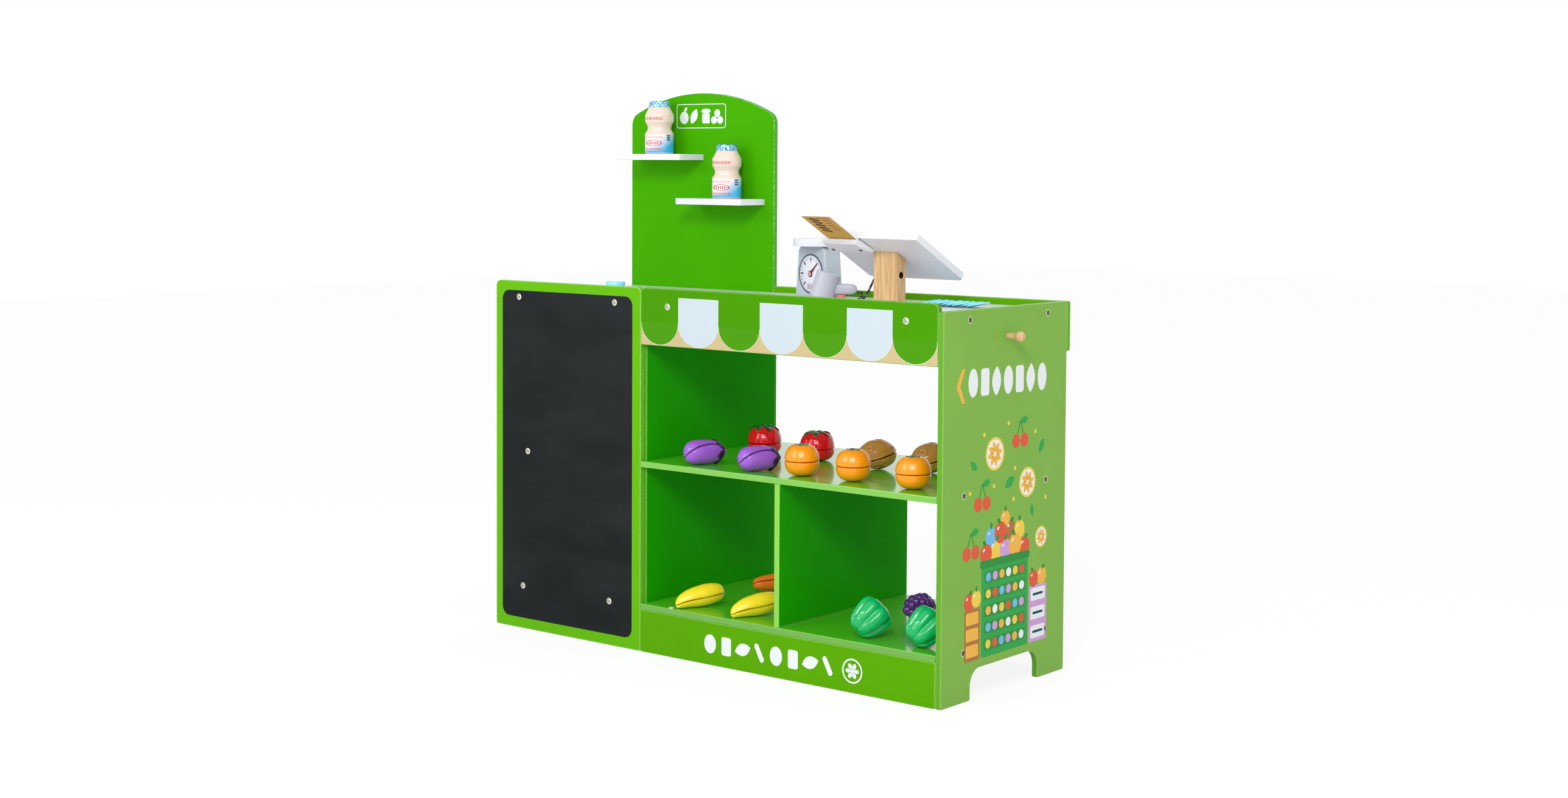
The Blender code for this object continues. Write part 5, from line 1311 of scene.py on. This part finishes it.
# Play carrot: orange-red, lying behind the divider, with a groove along it painted dark as shade, and short
# cross notches.
CARROT_SPOT = (118.5, 224.0)
CARROT_R = 17.5
CARROT_PROFILE = (
    (3.0, -48.6), (6.6, -46.6), (9.6, -42.0), (12.4, -31.5), (14.8, -11.0), (16.6, 13.0), (CARROT_R, 33.0),
    (15.8, 42.5), (9.0, 48.2), (4.0, 49.0),
)
CARROT_NOTCHES = (
    (-30, 262), (-22, 280), (-12, 268), (-2, 285), (6, 262), (16, 280), (26, 266), (-26, 215), (2, 210),
)
rings = lathe(CARROT_PROFILE, 120, 0.8)
turned_by = np.degrees(np.arctan2(rings[..., 1], rings[..., 0])) % 360
for z, angle in CARROT_NOTCHES:
    off = np.hypot((rings[..., 2] - z) / 0.8, (turned_by - angle) / 16.0)
    rings, _ = pressed(rings, off, 0.7, 1.0)
rings, share = lengthwise(rings, 240)
carrot = skin(rings, low_tip=(0, 0, -48.8), high_tip=(0, 0, 49.0))
carrot = moved(carrot, LYING, (*CARROT_SPOT, LOW_REST + CARROT_R))
carrot_skin = peel("carrot_orange_plastic", "FF7A22", 0.0, 0.2, "7A2A08")
piece("notched_carrot", carrot, carrot_skin, "carrot", groove=marked(share, 1, 0))

# Play peppers: bright green, four lobes with deep creases, leaning on their narrow end.
PEPPER_SPOTS = ((447.5, 40.5), (552.1, 40.5))
PEPPER_PROFILE = (
    (4.0, -27.8), (9.0, -28.8), (16.0, -26.6), (21.8, -21.0), (25.2, -13.5), (28.2, -3.0), (30.0, 9.0),
    (29.0, 17.5), (25.0, 23.2), (17.0, 26.4), (9.0, 25.0), (4.0, 22.5),
)
LEANING = turn("z", YAW) @ turn("y", 52)
# The pepper's narrow seam groove is painted dark green as shade.
pepper_skin = peel("pepper_green_plastic", "08B060", 0.0, 0.08, "0B5A30", 0.05, coat=0.3)
rings = lathe(PEPPER_PROFILE, 108, 1.1)
crease, off = np.divmod(np.degrees(np.arctan2(rings[..., 1], rings[..., 0])) - 30, 60)
depth = (7.6 - 2.6 * (crease % 2)) * np.clip((rings[..., 2] + 48) / 40, 0.55, 1) * bell(off - 30, 10.0)
size = np.maximum(np.linalg.norm(rings[..., :2], axis=-1), 1.0)
rings[..., :2] *= np.maximum(1 - depth / size, 0.35)[..., None]
rings, share = lengthwise(rings, 292, 0.8, 0.5)
pepper = skin(rings, low_tip=(0, 0, -27.2), high_tip=(0, 0, 22.0))
for k, (x, y) in enumerate(PEPPER_SPOTS):
    at = (x, y, dropped(pepper[0] @ LEANING.T, LOW_REST))
    solid = moved(pepper, LEANING, at)
    piece(f"lobed_pepper_{k + 1}", solid, pepper_skin, f"pepper_{k + 1}", groove=marked(share, 0, 0))

# Play grapes: about forty round purple berries moulded in one hollow bunch.
GRAPE_SPOT = (444.8, 177.5)
BERRY_R, BERRY_STEP = 8.3, 8.8
GRAPE_LIFT = 2.75 * BERRY_STEP
BERRY_RINGS = (
    (-2.35, 0.3, 1), (-1.75, 0.95, 4), (-0.9, 1.5, 6), (0.1, 1.75, 8), (1.0, 1.7, 7), (1.8, 1.15, 6),
    (2.35, 0.5, 3),
)
berry = skin(egg(BERRY_R, BERRY_R, BERRY_R, 12, 18), (-BERRY_R, 0, 0), (BERRY_R, 0, 0))
spots = [
    np.array([r * math.cos(a), r * math.sin(a), along]) * BERRY_STEP
    for n, (along, r, count) in enumerate(BERRY_RINGS)
    for a in (0.8 * n + 2 * math.pi * k / count for k in range(count))
]
bunch = joined([moved(berry, LEVEL, spot) for spot in spots])
bunch = moved(bunch, LYING, (*GRAPE_SPOT, LOW_REST + GRAPE_LIFT))
piece("grape_bunch", bunch, peel("grape_purple_plastic", "5A2880", 0.0, 0.12), "grapes")
